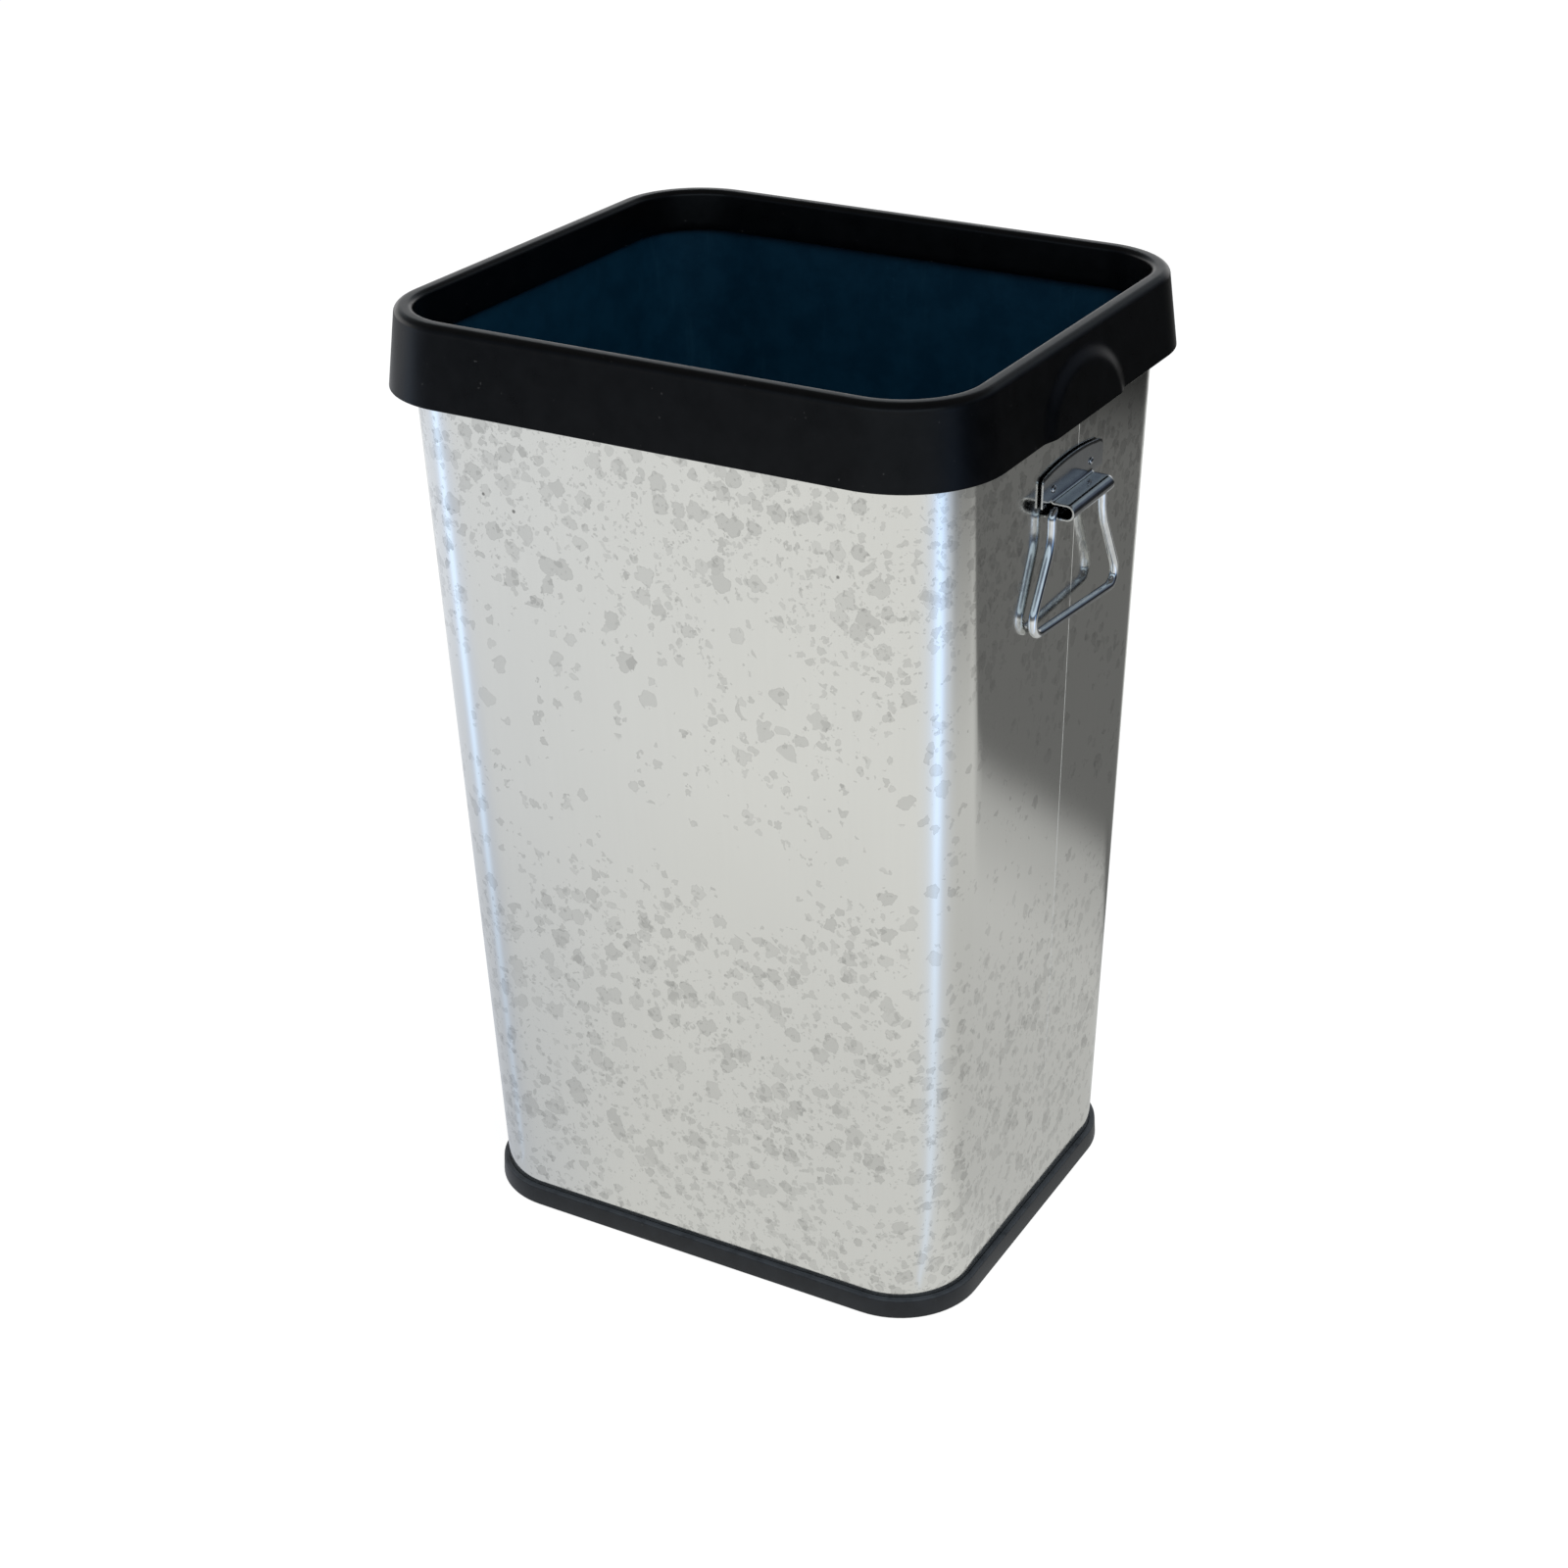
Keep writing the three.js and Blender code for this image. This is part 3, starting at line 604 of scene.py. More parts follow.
def makeWall():
    hem, plain = wallOutlines()
    stations, drop = wallStations()
    shape = hem[:, None] * (1 - drop[None, :, None]) + plain[:, None] * drop[None, :, None]
    offset, z = shape[..., 0], shape[..., 1]
    share = (z - wall["bottom"]) / (wall["top"] - wall["bottom"])
    raised = wall["notchTop"] + share * (wall["top"] - wall["notchTop"])
    z = z + (raised - z) * (drop > 0.5)
    offset = offset - drop * (wall["sheet"] + body["gap"])
    flat = carried(stations, offset, z)
    points = carried(stations, offset + sheetWave(flat, stations, z), z)
    rows, columns = points.shape[:2]
    faces = gridFaces(rows, columns, closeRows=True)
    starts = (np.arange(rows) * columns)[None, ::-1]
    ends = (np.arange(rows) * columns + columns - 1)[None]
    faceRow = np.repeat(np.arange(rows), columns - 1)
    hemRoll = wall["rows"] + 3  # the hem's outside takes the navy inside colour from this row of faces on
    slots = np.concatenate([(faceRow >= hemRoll).astype(int), [0, 0]])
    slots[:len(faceRow)][faceRow == rows - 1] = 0
    return makePiece("wall_sheet", points, [faces, starts, ends], [galvanized, navyInterior], slots)


wallSheet = makeWall()
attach(wallSheet, "bin")
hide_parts("body_shell")
print("wall made")


pan = {
    "sheet": 0.6,
    "bend": 2.5,
    "floorTop": 13.7,
    "beadInset": 26.0,
    "beadSlope": 6.0,
    "beadRise": 3.0,
}


# Pressed floor: a top and an underside outline, each down the raised field's slope by an eased
# step, over the flat rim, round the bend and down the flange, closed across the middle.
def makePan():
    flange = -wall["sheet"] - body["gap"]
    floorTop, sheet, bend = pan["floorTop"], pan["sheet"], pan["bend"]
    edge = flange - pan["beadInset"]
    share = np.linspace(1, 0, 9)
    slope = np.stack([edge - pan["beadSlope"] * share, floorTop + pan["beadRise"] * eased(share, 0, 1)], 1)
    centre = (flange - bend, floorTop - bend)
    outline = np.concatenate([
        slope,
        linePoints(slope[-1], (flange - bend, floorTop), 4)[1:-1],
        arcPoints(centre, bend, 90, 0, 7),
        [[flange, wall["bottom"]], [flange - sheet, wall["bottom"]]],
        arcPoints(centre, bend - sheet, 0, 90, 7),
        linePoints((flange - bend, floorTop - sheet), slope[-1] - (0, sheet), 4)[1:-1],
        slope[::-1] - (0, sheet),
    ])
    stations = roundStations(12, 2, 2)
    points = carried(stations, outline[:, :1], outline[:, 1:])
    rows, columns = points.shape[:2]
    faceRow = np.repeat(np.arange(rows - 1), columns)
    under = len(slope) + 3 + 8 + 1  # the underside's first row of faces
    slots = np.concatenate([(faceRow >= under).astype(int), [0, 1]])
    return makePiece("pan_floor", points, tubeFaces(rows, columns), [navyInterior, galvanized], slots)


panFloor = makePan()
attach(panFloor, "bin")
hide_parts("bottom_pan")
print("pan made")


foot = {
    "height": 13.3,
    "reach": 4.9,
    "draft": 1.0,
    "round": 1.4,
    "lipGap": 0.08,
    "lipRound": 0.35,
    "floor": 2.4,
    "innerLip": 2.2,
    "innerRise": 6.0,
}


# Foot ring: a channel's outline with rounded outer edges, carried round the body.
def makeFoot():
    reach, height, edge = foot["reach"], foot["height"], foot["round"]
    gap = body["gap"]
    lipOuter = -wall["sheet"] - gap - pan["sheet"] - gap
    lipInner = lipOuter - foot["innerLip"]
    lipTop = foot["floor"] + foot["innerRise"]
    small, seat = foot["lipRound"], foot["lipGap"]
    outline = np.concatenate([
        arcPoints((reach - edge, edge), edge, -90, 0, 5),
        arcPoints((reach - foot["draft"] - edge, height - edge), edge, 5, 90, 6),
        arcPoints((seat + small, height - small), small, 90, 180, 3),
        [[seat, foot["floor"]], [lipOuter, foot["floor"]]],
        arcPoints((lipOuter - small, lipTop - small), small, 0, 90, 3),
        arcPoints((lipInner + small, lipTop - small), small, 90, 180, 3),
        [[lipInner, 0]],
    ])
    stations = roundStations(18, 30, 24)
    points = carried(stations, outline[:, :1], outline[:, 1:])
    rows, columns = points.shape[:2]
    faces = gridFaces(rows, columns, closeRows=True, closeColumns=True)
    return makePiece("foot_channel", points, [faces], [footPlastic])


footChannel = makeFoot()
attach(footChannel, "bin")
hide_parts("foot_ring")
print("foot ring made")


collar = {
    "wall": 2.2,
    "top": 2.5,
    "reach": 6.9,
    "depth": 46.6,
    "draft": 6.2,
    "outerRoll": 4.5,
    "innerRoll": 3.4,
    "lipSlack": 0.5,
    "lipDepth": 25.4,
    "lipLean": 1.5,
    "lipWall": 1.8,
    "edge": 0.6,
    "faceRows": 30,
    "ribThickness": 1.8,
    "ribPitch": 62.0,
    "ribLift": 6.0,
}
arch = {
    "width": 112.0,
    "height": 39.0,
    "raise": 2.8,
    "edge": 10.0,
    "middleY": -8.0,
}
skirtBottom = body["height"] - collar["depth"]


def skirtFace(z):
    return collar["reach"] + collar["draft"] * (body["height"] - z) / collar["depth"]


# Raised arch on the two short sides: full height inside an ellipse, eased down to nothing at its
# edge, whose distance is one minus the ellipse's radius, times its height.
def archLift(stations, z):
    y = stations[1] * (body["rim"][1] - body["rim"][2])
    across = (y - arch["middleY"]) / (arch["width"] / 2)
    up = (z - skirtBottom) / arch["height"]
    inside = (1 - np.sqrt(across ** 2 + up ** 2)) * arch["height"]
    onSide = np.abs(stations[3]) > 0.999
    return arch["raise"] * eased(inside, 0, arch["edge"]) * onSide


# Collar: a channel's outline, up the sloped skirt, over the two rolls and down the inner lip,
# then back inside, carried round the rim. The arch lifts only the skirt's outer face.
def makeCollar():
    top = body["height"]
    roof = top - collar["top"]
    rollZ = top - collar["outerRoll"]
    lipOuter = -2 * wall["sheet"] - body["gap"] - collar["lipSlack"]
    lipInner = lipOuter - collar["lipWall"]
    lipLow = top - collar["lipDepth"]
    lean, edge = collar["lipLean"], collar["edge"]
    inRoll, outRoll = collar["innerRoll"], collar["outerRoll"]
    face = linePoints(
        (skirtFace(skirtBottom + edge), skirtBottom + edge), (skirtFace(rollZ), rollZ), collar["faceRows"],
    )
    outer = np.concatenate([
        arcPoints((skirtFace(skirtBottom) - edge, skirtBottom + edge), edge, -90, 0, 4)[:-1],
        face,
    ])
    lifted = len(outer)
    outline = np.concatenate([
        outer,
        arcPoints((skirtFace(rollZ) - outRoll, rollZ), outRoll, 8, 90, 9),
        arcPoints((lipInner + inRoll, top - inRoll), inRoll, 90, 180, 9),
        linePoints((lipInner, top - inRoll), (lipInner - lean, lipLow + edge), 5)[1:],
        arcPoints((lipInner - lean + edge, lipLow + edge), edge, 180, 270, 3)[1:],
        arcPoints((lipOuter - lean - edge, lipLow + edge), edge, 270, 360, 3),
        [[lipOuter, roof]],
        [[skirtFace(roof) - collar["wall"] - 1.2, roof]],
        [[skirtFace(roof - 2.5) - collar["wall"], roof - 2.5]],
        linePoints(
            (skirtFace(roof - 8) - collar["wall"], roof - 8),
            (skirtFace(skirtBottom) - collar["wall"], skirtBottom + 0.3), 5,
        ),
        [[skirtFace(skirtBottom) - collar["wall"] + 0.3, skirtBottom]],
    ])
    stations = roundStations(22, 36, 150)
    lift = archLift(stations, outline[:, 1:])
    lift[lifted:] = 0
    points = carried(stations, outline[:, :1] + lift, outline[:, 1:], body["rim"])
    rows, columns = points.shape[:2]
    faces = gridFaces(rows, columns, closeRows=True, closeColumns=True)
    return makePiece("collar_channel", points, [faces], [collarPlastic])


# Ribs under the collar: a flat plate's five-cornered outline, given thickness and set at each
# place along the four sides, square to the side.
def makeRibs():
    bearing = body["gap"] + wall["sheet"] + body["gap"]
    lowZ = skirtBottom + collar["ribLift"]
    roof = body["height"] - collar["top"]
    sink = collar["wall"] / 2
    outline = np.array([
        [skirtFace(lowZ) - sink, lowZ],
        [skirtFace(roof) - sink, roof + sink / 2],
        [bearing, roof + sink / 2],
        [bearing, roof - wall["hemDepth"]],
        [skirtFace(lowZ) - collar["wall"] - body["gap"], lowZ],
    ])
    halfX, halfY, corner = body["rim"]
    places = []
    for reach, run, turn in ((halfX, halfY - corner, 0), (halfY, halfX - corner, 90)):
        count = max(1, round(2 * run / collar["ribPitch"]))
        for along in np.linspace(-run, run, count + 1):
            places += [(reach, along, turn), (reach, along, turn + 180)]
    thickness = np.array([-0.5, 0.5]) * collar["ribThickness"]
    points, quads, ends = [], [], []
    for index, (reach, along, turn) in enumerate(places):
        angle = math.radians(turn)
        out = np.array([math.cos(angle), math.sin(angle)])
        aside = np.array([-out[1], out[0]])
        flat = out * (reach + outline[None, :, :1]) + aside * (along + thickness[:, None, None])
        height = np.broadcast_to(outline[None, :, 1:], flat[..., :1].shape)
        points.append(np.concatenate([flat, height], -1).reshape(-1, 3))
        quads.append(gridFaces(2, 5, closeColumns=True) + index * 10)
        ends += [np.arange(5)[::-1] + index * 10, np.arange(5, 10) + index * 10]
    groups = [np.concatenate(quads), np.array(ends)]
    return makePiece("collar_ribs", np.concatenate(points), groups, [collarPlastic])


collarChannel = makeCollar()
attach(collarChannel, "collar")
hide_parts("rim_collar")
collarRibs = makeRibs()
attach(collarRibs, "collar")
print("collar made")


bracket = {
    "middleY": 4.5,
    "axleZ": 500.0,
    "sheet": 1.1,
    "standOff": 1.2,
    "plateWidth": 82.0,
    "plateShift": 1.5,
    "shoulderHeight": 17.2,
    "crownHeight": 20.2,
    "frontCorner": 3.6,
    "backCorner": 6.5,
    "tunnelLength": 56.0,
    "reach": 16.6,
    "room": 7.4,
    "foldRadius": 2.0,
    "leafEnd": 0.5,
    "leafInner": -3.05,
    "edgeRound": 0.22,
}
wallLean = math.atan2(body["rim"][0] - body["floor"][0], body["height"])
roofTop = bracket["leafInner"] + bracket["room"] + bracket["sheet"]


# From a bracket's own frame, with X out from the wall, Y along it and Z up it, to the bin's.
def ontoWall(points, side):
    points = np.asarray(points, float)
    faceX = sectionAt(bracket["axleZ"])[0]
    lean, rise = math.cos(wallLean), math.sin(wallLean)
    x = faceX + points[..., 0] * lean + points[..., 2] * rise
    z = bracket["axleZ"] - points[..., 0] * rise + points[..., 2] * lean
    y = bracket["middleY"] + side * points[..., 1]
    return np.stack([side * x, y, z], -1)


# Height of the plate's top edge over the roof: a shallow parabola between the shoulders, and a
# quarter of a circle at each end, larger at the back.
def plateTop(y):
    corner = np.where(y < 0, bracket["frontCorner"], bracket["backCorner"])
    shoulder = bracket["plateWidth"] / 2 - corner
    high, crown = bracket["shoulderHeight"], bracket["crownHeight"]
    middle = crown - (crown - high) * (y / shoulder) ** 2
    past = np.clip((np.abs(y) - shoulder) / corner, 0, 1)
    return np.where(past > 0, high - corner * (1 - np.sqrt(1 - past ** 2)), middle)


# Bracket sheet's middle surface: rows down the plate from its top edge to the fold, and then, on
# the columns of the tunnel alone, round the fold, out along the roof, round the nose and back.
def makeBracket(name, side):
    sheet = bracket["sheet"]
    plateX = bracket["standOff"] + sheet / 2
    half, tunnelHalf = bracket["plateWidth"] / 2, bracket["tunnelLength"] / 2
    wing = tunnelHalf + (half - tunnelHalf) * np.sin(np.radians(np.linspace(0, 90, 16)))[1:]
    y = np.concatenate([-wing[::-1], np.linspace(-tunnelHalf, tunnelHalf, 25), wing])
    foldZ = roofTop + bracket["foldRadius"]
    lowZ = foldZ - 2.6 * eased(np.abs(y), tunnelHalf, tunnelHalf + 1.5)
    share = np.linspace(0, 1, 9)[:, None]
    topZ = roofTop + plateTop(y)
    plateZ = topZ + (lowZ - topZ) * share
    shifted = y + bracket["plateShift"] * eased(np.abs(y), tunnelHalf, half)
    plate = np.stack(np.broadcast_arrays(plateX, shifted, plateZ), -1)

    foldCentre = (bracket["standOff"] + sheet + bracket["foldRadius"], foldZ)
    noseRadius = (bracket["room"] + sheet) / 2
    noseCentre = (bracket["reach"] - noseRadius - sheet / 2, bracket["leafInner"] + bracket["room"] / 2)
    leafZ = bracket["leafInner"] - sheet / 2
    track = np.concatenate([
        arcPoints(foldCentre, bracket["foldRadius"] + sheet / 2, 180, 270, 7)[1:],
        linePoints((foldCentre[0], roofTop - sheet / 2), (noseCentre[0], roofTop - sheet / 2), 3)[1:],
        arcPoints(noseCentre, noseRadius, 90, -90, 16)[1:],
        linePoints((noseCentre[0], leafZ), (bracket["leafEnd"], leafZ), 4)[1:],
    ])
    tunnelY = np.linspace(-tunnelHalf, tunnelHalf, 25)
    tunnel = np.stack(np.broadcast_arrays(track[:, None, 0], tunnelY, track[:, None, 1]), -1)
    columns, wide = len(tunnelY), len(y)
    rows = len(share)
    first = (rows - 1) * wide + (wide - columns) // 2
    numbers = np.concatenate([
        np.arange(first, first + columns)[None],
        rows * wide + np.arange(len(track) * columns).reshape(len(track), columns),
    ])
    tunnelFaces = numbers.ravel()[gridFaces(len(track) + 1, columns)]
    points = np.concatenate([plate.reshape(-1, 3), tunnel.reshape(-1, 3)])
    groups = [gridFaces(rows, wide), tunnelFaces]
    piece = makePiece(name, ontoWall(points, side), groups, [zinc, cutEdge], crease=60, closed=False)
    thicken = piece.modifiers.new("sheet", "SOLIDIFY")
    thicken.thickness = sheet * metre
    thicken.offset = 0
    thicken.use_even_offset = True
    thicken.material_offset_rim = 1
    soften = piece.modifiers.new("edges", "BEVEL")
    soften.width = bracket["edgeRound"] * metre
    soften.segments = 2
    soften.limit_method = "ANGLE"
    soften.angle_limit = math.radians(50)
    return piece


rivet = {
    "spacing": 51.0,
    "rise": 7.0,
    "shank": 1.6,
    "head": 2.3,
    "headHeight": 1.1,
    "tail": 2.8,
    "tailHeight": 1.1,
}


# Rivet: an outline of (distance out, radius) from the formed tail along the shank to the domed
# head, turned round its axis.
def makeRivet(name, side, along):
    seat = bracket["standOff"] + bracket["sheet"] + 0.05
    tail = -wall["sheet"] - 0.1
    dome = arcPoints((0, 0), 1, 0, 84, 7)
    outline = np.concatenate([
        [[tail - rivet["tailHeight"], 0.15]],
        arcPoints((tail - 0.4, rivet["tail"] - 0.7), 0.7, 180, 90, 4),
        [[tail, rivet["tail"]], [tail, rivet["shank"]], [seat, rivet["shank"]]],
        np.stack([seat + 0.15 + rivet["headHeight"] * dome[:, 1], rivet["head"] * dome[:, 0]], 1),
    ])
    turn = np.radians(np.arange(20) * 18)
    points = np.stack(np.broadcast_arrays(
        outline[:, :1],
        along + outline[:, 1:] * np.cos(turn),
        roofTop + rivet["rise"] + outline[:, 1:] * np.sin(turn),
    ), -1)
    return makePiece(name, ontoWall(points, side), tubeFaces(*points.shape[:2]), [zinc])


bail = {
    "radius": 2.75,
    "out": 6.6,
    "shiftY": -0.2,
    "turn": 2.9,
    "tilt": 2.0,
    "neckHalf": 31.5,
    "footHalf": 51.5,
    "drop": 70.2,
    "neckLength": 19.0,
    "footLength": 12.2,
    "endHalf": 2.5,
    "neckBend": 5.0,
    "upperBend": 38.0,
    "lowerBend": 16.0,
    "footBend": 8.0,
    "sides": 24,
    "endRound": 0.5,
}


# Route with rounded corners: each corner gives way to an arc that touches both of its legs, whose
# set-back is the bend's radius over the tangent of half the corner's angle.
def roundedRoute(corners, steps, pitch):
    points = [np.array(corners[0][0])]
    for place in range(1, len(corners) - 1):
        corner, radius = np.array(corners[place][0]), corners[place][1]
        back = np.array(corners[place - 1][0]) - corner
        onward = np.array(corners[place + 1][0]) - corner
        back, onward = back / np.linalg.norm(back), onward / np.linalg.norm(onward)
        halfAngle = math.acos(float(back @ onward)) / 2
        middle = (back + onward) / np.linalg.norm(back + onward)
        centre = corner + middle * radius / math.sin(halfAngle)
        first = corner + back * radius / math.tan(halfAngle) - centre
        last = corner + onward * radius / math.tan(halfAngle) - centre
        sweep = math.pi - 2 * halfAngle
        share = np.linspace(0, 1, steps + 1)[:, None]
        bend = (first * np.sin((1 - share) * sweep) + last * np.sin(share * sweep)) / math.sin(sweep)
        points += list(centre + bend)
    points.append(np.array(corners[-1][0]))
    route = [points[0]]
    for start, end in zip(points[:-1], points[1:]):
        count = max(1, round(float(np.linalg.norm(end - start)) / pitch))
        route += list(linePoints(start, end, count)[1:])
    return np.array(route)


# Wire: a circle carried along the route, in the plane across it, with its two ends rounded off,
# then skewed in its own plane so that its front end hangs higher and its foot lies further back,
# and turned about the wall's upright so that its back leg stands further out.
def makeBail(name, side):
    neck, wide, drop = bail["neckHalf"], bail["footHalf"], bail["drop"]
    half = [
        ((bail["endHalf"], 0.0), 0.0),
        ((neck, 0.0), bail["neckBend"]),
        ((neck, -bail["neckLength"]), bail["upperBend"]),
        ((wide, -(drop - bail["footLength"])), bail["lowerBend"]),
        ((wide, -drop), bail["footBend"]),
    ]
    mirrored = [((-point[0], point[1]), bend) for point, bend in half]
    route = roundedRoute(mirrored + half[::-1], 8, 6.0)
    ahead = np.gradient(route, axis=0)
    ahead /= np.linalg.norm(ahead, axis=1)[:, None]
    radius = np.full(len(route), bail["radius"])
    tip = bail["endRound"]
    startTip, endTip = route[:1] + ahead[:1] * tip, route[-1:] - ahead[-1:] * tip
    route = np.concatenate([route[:1], startTip, route[1:-1], endTip, route[-1:]])
    ahead = np.concatenate([ahead[:1], ahead, ahead[-1:]])
    radius = np.concatenate([[bail["radius"] - tip], radius, [bail["radius"] - tip]])
    around = np.linspace(0, 2 * math.pi, bail["sides"], endpoint=False)
    across = np.stack([-ahead[:, 1], ahead[:, 0]], 1)
    out = radius[:, None] * np.cos(around)
    inPlane = route[:, None] + across[:, None] * (radius[:, None] * np.sin(around))[..., None]
    tilt, turn = math.radians(bail["tilt"]), math.radians(bail["turn"])
    along = inPlane[..., 0] * math.cos(tilt) - inPlane[..., 1] * math.sin(tilt)
    height = inPlane[..., 1] * math.cos(tilt) - inPlane[..., 0] * math.sin(tilt)
    points = np.stack([
        bail["out"] + out * math.cos(turn) + along * math.sin(turn),
        side * (bail["shiftY"] - out * math.sin(turn) + along * math.cos(turn)),
        height,
    ], -1)
    return makePiece(name, ontoWall(points, side), tubeFaces(*points.shape[:2]), [brightWire])


for side, sideName in ((1, "right"), (-1, "left")):
    plate = makeBracket(f"handle_plate_{sideName}", side)
    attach(plate, "bin")
    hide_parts(f"bracket_{sideName}")
    for along, endName in ((-1, "front"), (1, "back")):
        stud = makeRivet(f"stud_{sideName}_{endName}", side, along * rivet["spacing"] / 2)
        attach(stud, "bin")
        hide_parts(f"rivet_{sideName}_{endName}")
    wire = makeBail(f"wire_bail_{sideName}", side)
    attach(wire, f"{sideName}_bail")
    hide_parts(f"bail_{sideName}")
print("handles made")


# Plain pale floor, lit from within like a light table, so that shadows on it stay faint
floor = {
    "halfSize": 20000.0,
    "white": (0.16, 0.16, 0.16),
    "glow": 0.90,
    "glowTint": (1, 1, 1),
    "drop": -0.15,
}


def makeFloor():
    reach = floor["halfSize"]
    corners = [(-reach, -reach), (reach, -reach), (reach, reach), (-reach, reach)]
    points = [(x, y, floor["drop"]) for x, y in corners]
    material, tree, shader = newMaterial("paleFloor", {
        "Base Color": opaque(floor["white"]),
        "Roughness": 1.0,
        "Specular IOR Level": 0.0,
        "Emission Color": opaque(floor["glowTint"]),
        "Emission Strength": floor["glow"],
    })
    sheet = makePiece("pale_floor", points, [np.array([[0, 1, 2, 3]])], [material], closed=False)
    sheet.visible_glossy = False


# Studio surroundings, which only polished surfaces see
studio = {
    "radius": 3200.0,
    "height": 2600.0,
    "floorRows": 150,
    "wallRows": 30,
    "ceilingRows": 20,
    "bright": 0.865,
    "dark": 0.16,
    "shades": {
        "near": 0.12, "far": 0.74, "right": 0.23, "farRight": 0.9, "shoulder": 0.35,
        "edge": 0.25, "farDark": 0.85, "left": 0.19, "behind": 0.55, "wall": 0.8,
    },
    "leftTint": (-0.05, -0.01, 0.09),
    "floorTint": (1.0, 1.005, 0.985),
    "edgeFrom": (342, 509),
    "edgeAzimuth": 27.0,
    "streaks": [
        {"from": (165, -138), "azimuth": -11.0, "core": (0.26, 0.40, 0.60), "halo": (0.00, 0.10, 0.30)},
        {"from": (-160, -140), "azimuth": -160.5, "core": (0.24, 0.37, 0.52), "halo": (0.00, 0.04, 0.13)},
    ],
    "coreWidth": 8.0,
    "haloWidth": 17.0,
    "backdrop": (1.15, 1.15, 1.15),
    "window": (0.62, 0.74, 0.84),
    "highBack": (0.24, 0.29, 0.33),
    "frontWall": (0.10, 0.12, 0.16),
    "ceiling": 0.10,
}


# How far a direction lies inside a sector: 1 near its middle, eased to 0 between two half widths.
def sector(azimuth, middle, full, none):
    return 1 - eased(np.abs((azimuth - middle + 180) % 360 - 180), full, none)


# Distance of a floor place past the dark half's edge, a straight line at an azimuth.
def beyondEdge(x, y):
    angle = math.radians(studio["edgeAzimuth"])
    startX, startY = studio["edgeFrom"]
    return -math.sin(angle) * (x - startX) + math.cos(angle) * (y - startY)


# Floor: the pool of light round the bin, dimmer to the right, near it and far away, with a dark
# half past an edge at the back right, a dark strip right behind the bin and a cooler left.
def floorGlow(x, y, away, azimuth):
    shade = studio["shades"]
    right = eased(azimuth, -35, 8) * (1 - eased(azimuth, 75, 110))
    left = sector(azimuth, 190, 20, 60)
    base = studio["bright"] * (1 - shade["near"] * (1 - eased(away, 200, 800)))
    base = base * (1 - shade["far"] * eased(away, 1500, 2600)) * (1 - shade["right"] * right)
    base = base * (1 - shade["farRight"] * right * eased(away, 1000, 2000))
    shoulder = eased(azimuth, -4, 6) * (1 - eased(azimuth, 26, 44)) * eased(away, 700, 1300)
    base = base * (1 - shade["shoulder"] * shoulder)
    beyond = beyondEdge(x, y)
    fade = (1 - eased(azimuth, 74, 88)) * (azimuth > 0)
    base = base * (1 - shade["edge"] * eased(beyond, -170, -45) * fade)
    dark = eased(beyond, -62, 14) * fade
    deep = studio["dark"] * (1 - shade["farDark"] * eased(away, 1430, 1750))
    base = base * (1 - dark) + deep * dark
    base = base * (1 - shade["left"] * left * (1 - eased(away, 500, 1300)))
    base = base * (1 - shade["behind"] * sector(azimuth, 122, 12, 26))
    tint = left[..., None] * np.array(studio["leftTint"]) + np.array(studio["floorTint"])
    return base[..., None] * tint


# Streaks: each runs out from a front corner of the bin, a bluish core inside a wider halo, both
# bell curves of the angle off its direction.
def streakGlow(x, y):
    total = np.zeros(x.shape + (3,))
    for streak in studio["streaks"]:
        startX, startY = streak["from"]
        turn = np.degrees(np.arctan2(y - startY, x - startX)) - streak["azimuth"]
        turn = (turn + 180) % 360 - 180
        reach = 0.3 + 0.7 * eased(np.hypot(x - startX, y - startY), 60, 800)
        for width, tint in ((studio["coreWidth"], streak["core"]), (studio["haloWidth"], streak["halo"])):
            total = total + (np.exp(-(turn / width) ** 2) * reach)[..., None] * np.array(tint)
    return total


# Walls: dim, and darker low on the right, with three brighter panels laid over them.
def wallGlow(azimuth, z):
    unlit = sector(azimuth, 50, 45, 75) * (1 - eased(z, 600, 1200))
    colour = np.array(studio["frontWall"]) * (1 - studio["shades"]["wall"] * unlit)[..., None]
    high = 1 - eased(z, 1500, 2100)
    panels = [
        (sector(azimuth, 140, 45, 75) * (1 - eased(z, 1250, 1900)), studio["backdrop"]),
        (sector(azimuth, -65, 34, 56) * eased(z, 400, 750) * high, studio["window"]),
        (sector(azimuth, 95, 55, 85) * eased(z, 1500, 1900), studio["highBack"]),
    ]
    for share, tint in panels:
        colour = colour * (1 - share[..., None]) + np.array(tint) * share[..., None]
    return colour


# Brightness of the surroundings at a place: the floor gives way to the walls as it rises, and
# the walls to the dim ceiling.
def studioGlow(x, y, z):
    azimuth = np.degrees(np.arctan2(y, x))
    floorPart = floorGlow(x, y, np.hypot(x, y), azimuth) + streakGlow(x, y)
    lift = eased(z, -50, 350)[..., None]
    over = eased(z, 2300, 2600)[..., None]
    colour = floorPart * (1 - lift) + wallGlow(azimuth, z) * lift
    return colour * (1 - over) + studio["ceiling"] * over


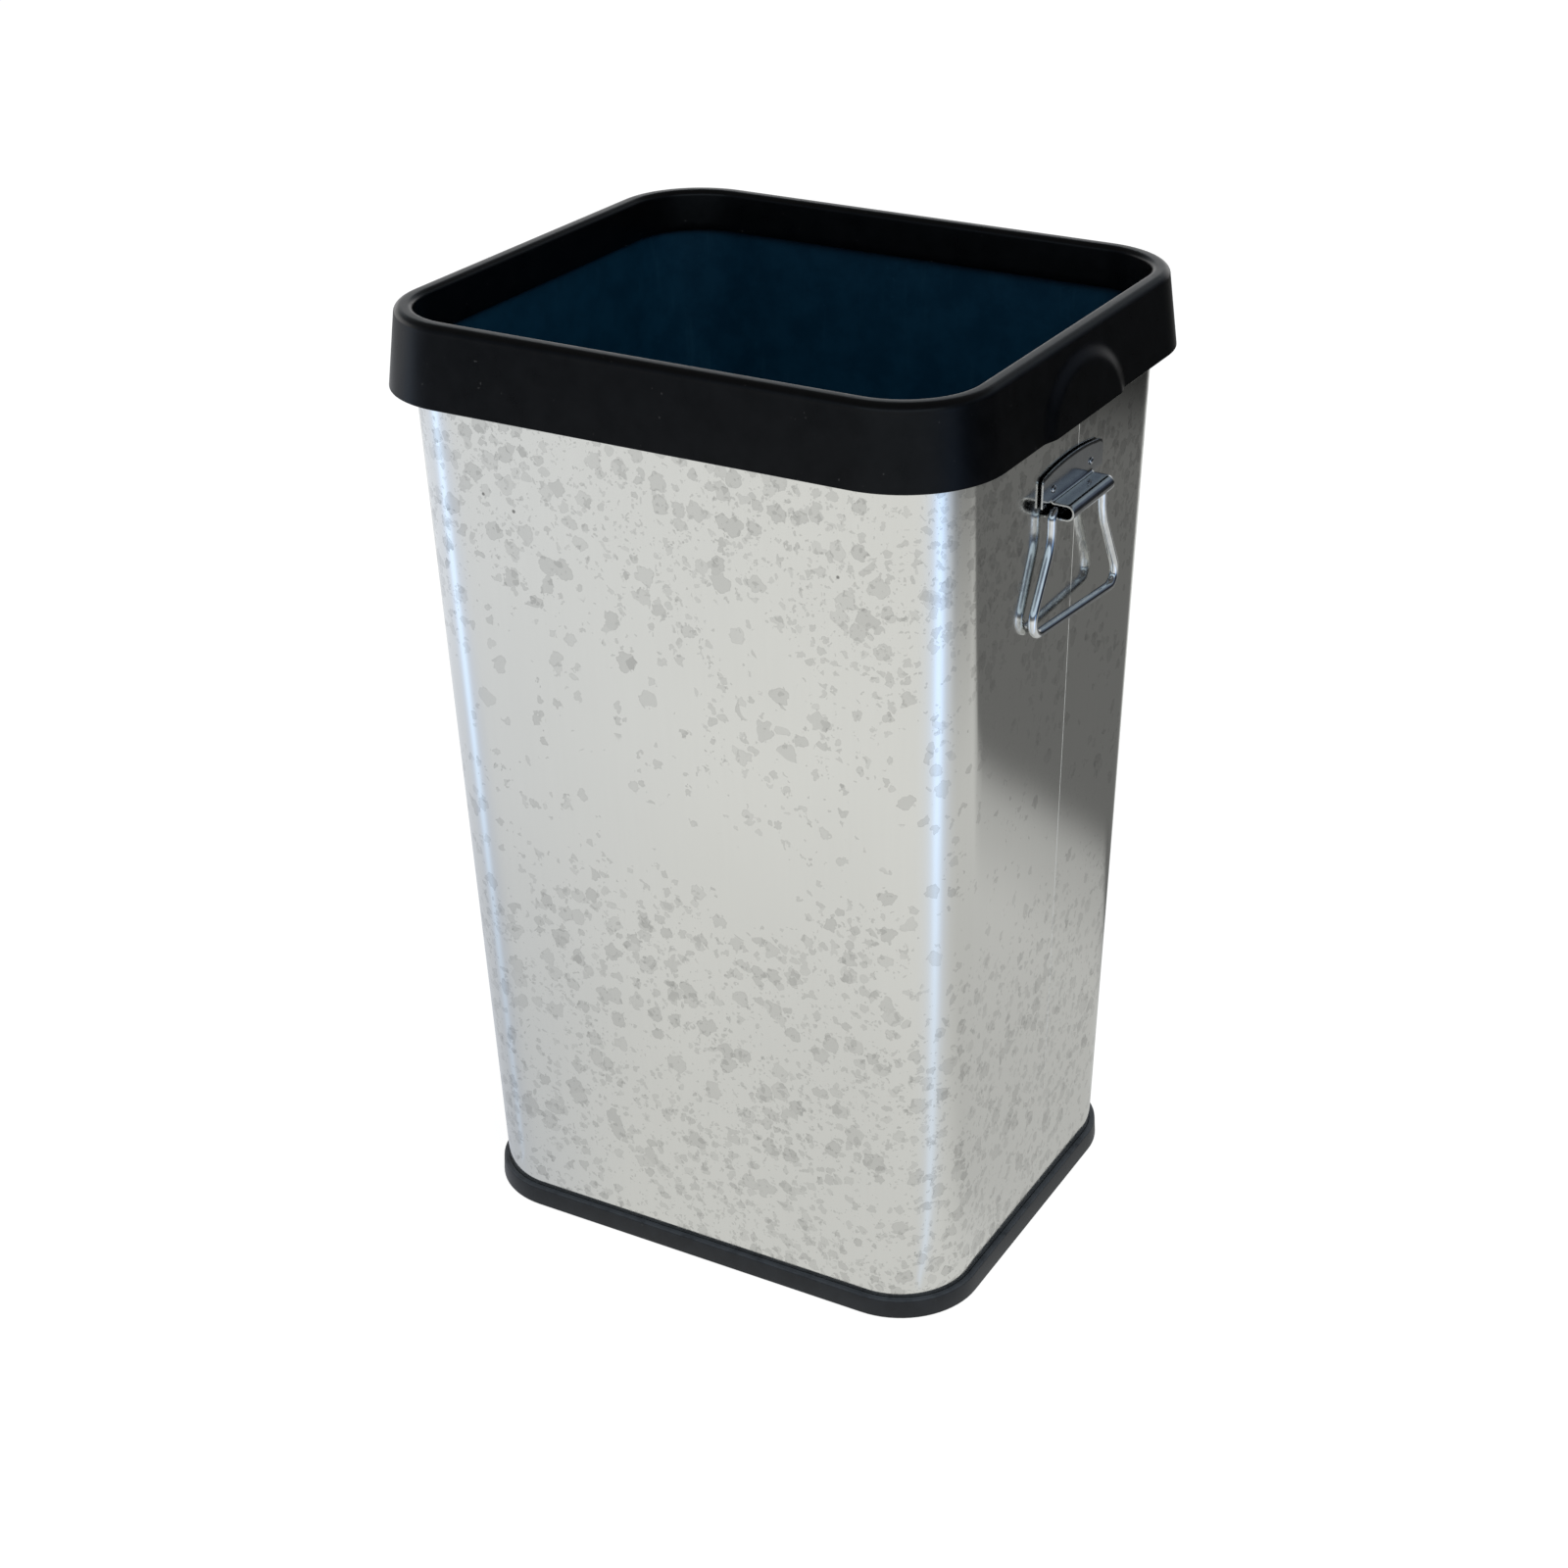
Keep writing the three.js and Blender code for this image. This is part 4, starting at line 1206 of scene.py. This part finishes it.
# Surroundings: rings of points out along the floor, up a wall and in over a ceiling, at every
# azimuth.
def makeSurroundings():
    reach, rise = studio["radius"], studio["height"]
    azimuth = np.radians(np.arange(0, 360, 1.0))
    floorRows, wallRows, ceilingRows = studio["floorRows"], studio["wallRows"], studio["ceilingRows"]
    floorOut = reach * np.linspace(0.012, 1, floorRows) ** 1.5
    ceilingIn = reach * np.linspace(0.95, 0.002, ceilingRows)
    out = np.concatenate([floorOut, np.full(wallRows, reach), ceilingIn])
    wallUp = np.linspace(0, 1, wallRows + 1)[1:] ** 1.4 * rise
    up = np.concatenate([np.full(floorRows, -0.1), wallUp, np.full(ceilingRows, rise)])
    x = out[:, None] * np.cos(azimuth)
    y = out[:, None] * np.sin(azimuth)
    z = np.broadcast_to(up[:, None], x.shape)
    points = np.stack([x, y, z], -1)
    rows, columns = points.shape[:2]
    material, tree, shader = newMaterial("studioGlow", {})
    tree.nodes.remove(shader)
    colour = addNode(tree, "ShaderNodeAttribute", attribute_name="glow").outputs["Color"]
    emission = addNode(tree, "ShaderNodeEmission", {"Color": colour})
    tree.links.new(emission.outputs[0], tree.nodes["Material Output"].inputs["Surface"])
    faces = gridFaces(rows, columns, closeColumns=True)
    card = makePiece("studio_surroundings", points, [faces], [material], closed=False)
    glow = studioGlow(x, y, z).reshape(-1, 3)
    store = card.data.attributes.new("glow", "FLOAT_COLOR", "POINT")
    withAlpha = np.concatenate([glow, np.ones((len(glow), 1))], 1)
    store.data.foreach_set("color", withAlpha.astype(np.float32).ravel())
    card.visible_camera = False
    card.visible_diffuse = False
    card.visible_transmission = False
    card.visible_volume_scatter = False
    card.visible_shadow = False


lamp = {"place": (1300, -900, 1900), "aim": (0, 0, 500), "side": 1000, "power": 21}
room = {"tint": (0.95, 0.97, 1.0), "strength": 0.9}


def makeLight():
    light = bpy.data.lights.new("softBox", "AREA")
    light.size = lamp["side"] * metre
    light.energy = lamp["power"]
    seat = bpy.data.objects.new("softBox", light)
    seat.visible_glossy = False
    place, aim = Vector(lamp["place"]) * metre, Vector(lamp["aim"]) * metre
    seat.location = place
    seat.rotation_euler = (aim - place).to_track_quat("-Z", "Y").to_euler()
    bpy.context.scene.collection.objects.link(seat)
    world = bpy.data.worlds.new("paleRoom")
    world.use_nodes = True
    background = world.node_tree.nodes["Background"]
    background.inputs["Color"].default_value = opaque(room["tint"])
    background.inputs["Strength"].default_value = room["strength"]
    bpy.context.scene.world = world


makeFloor()
makeSurroundings()
makeLight()
bpy.context.scene.view_settings.view_transform = "Standard"
bpy.context.scene.view_settings.look = "None"
print("stage made")
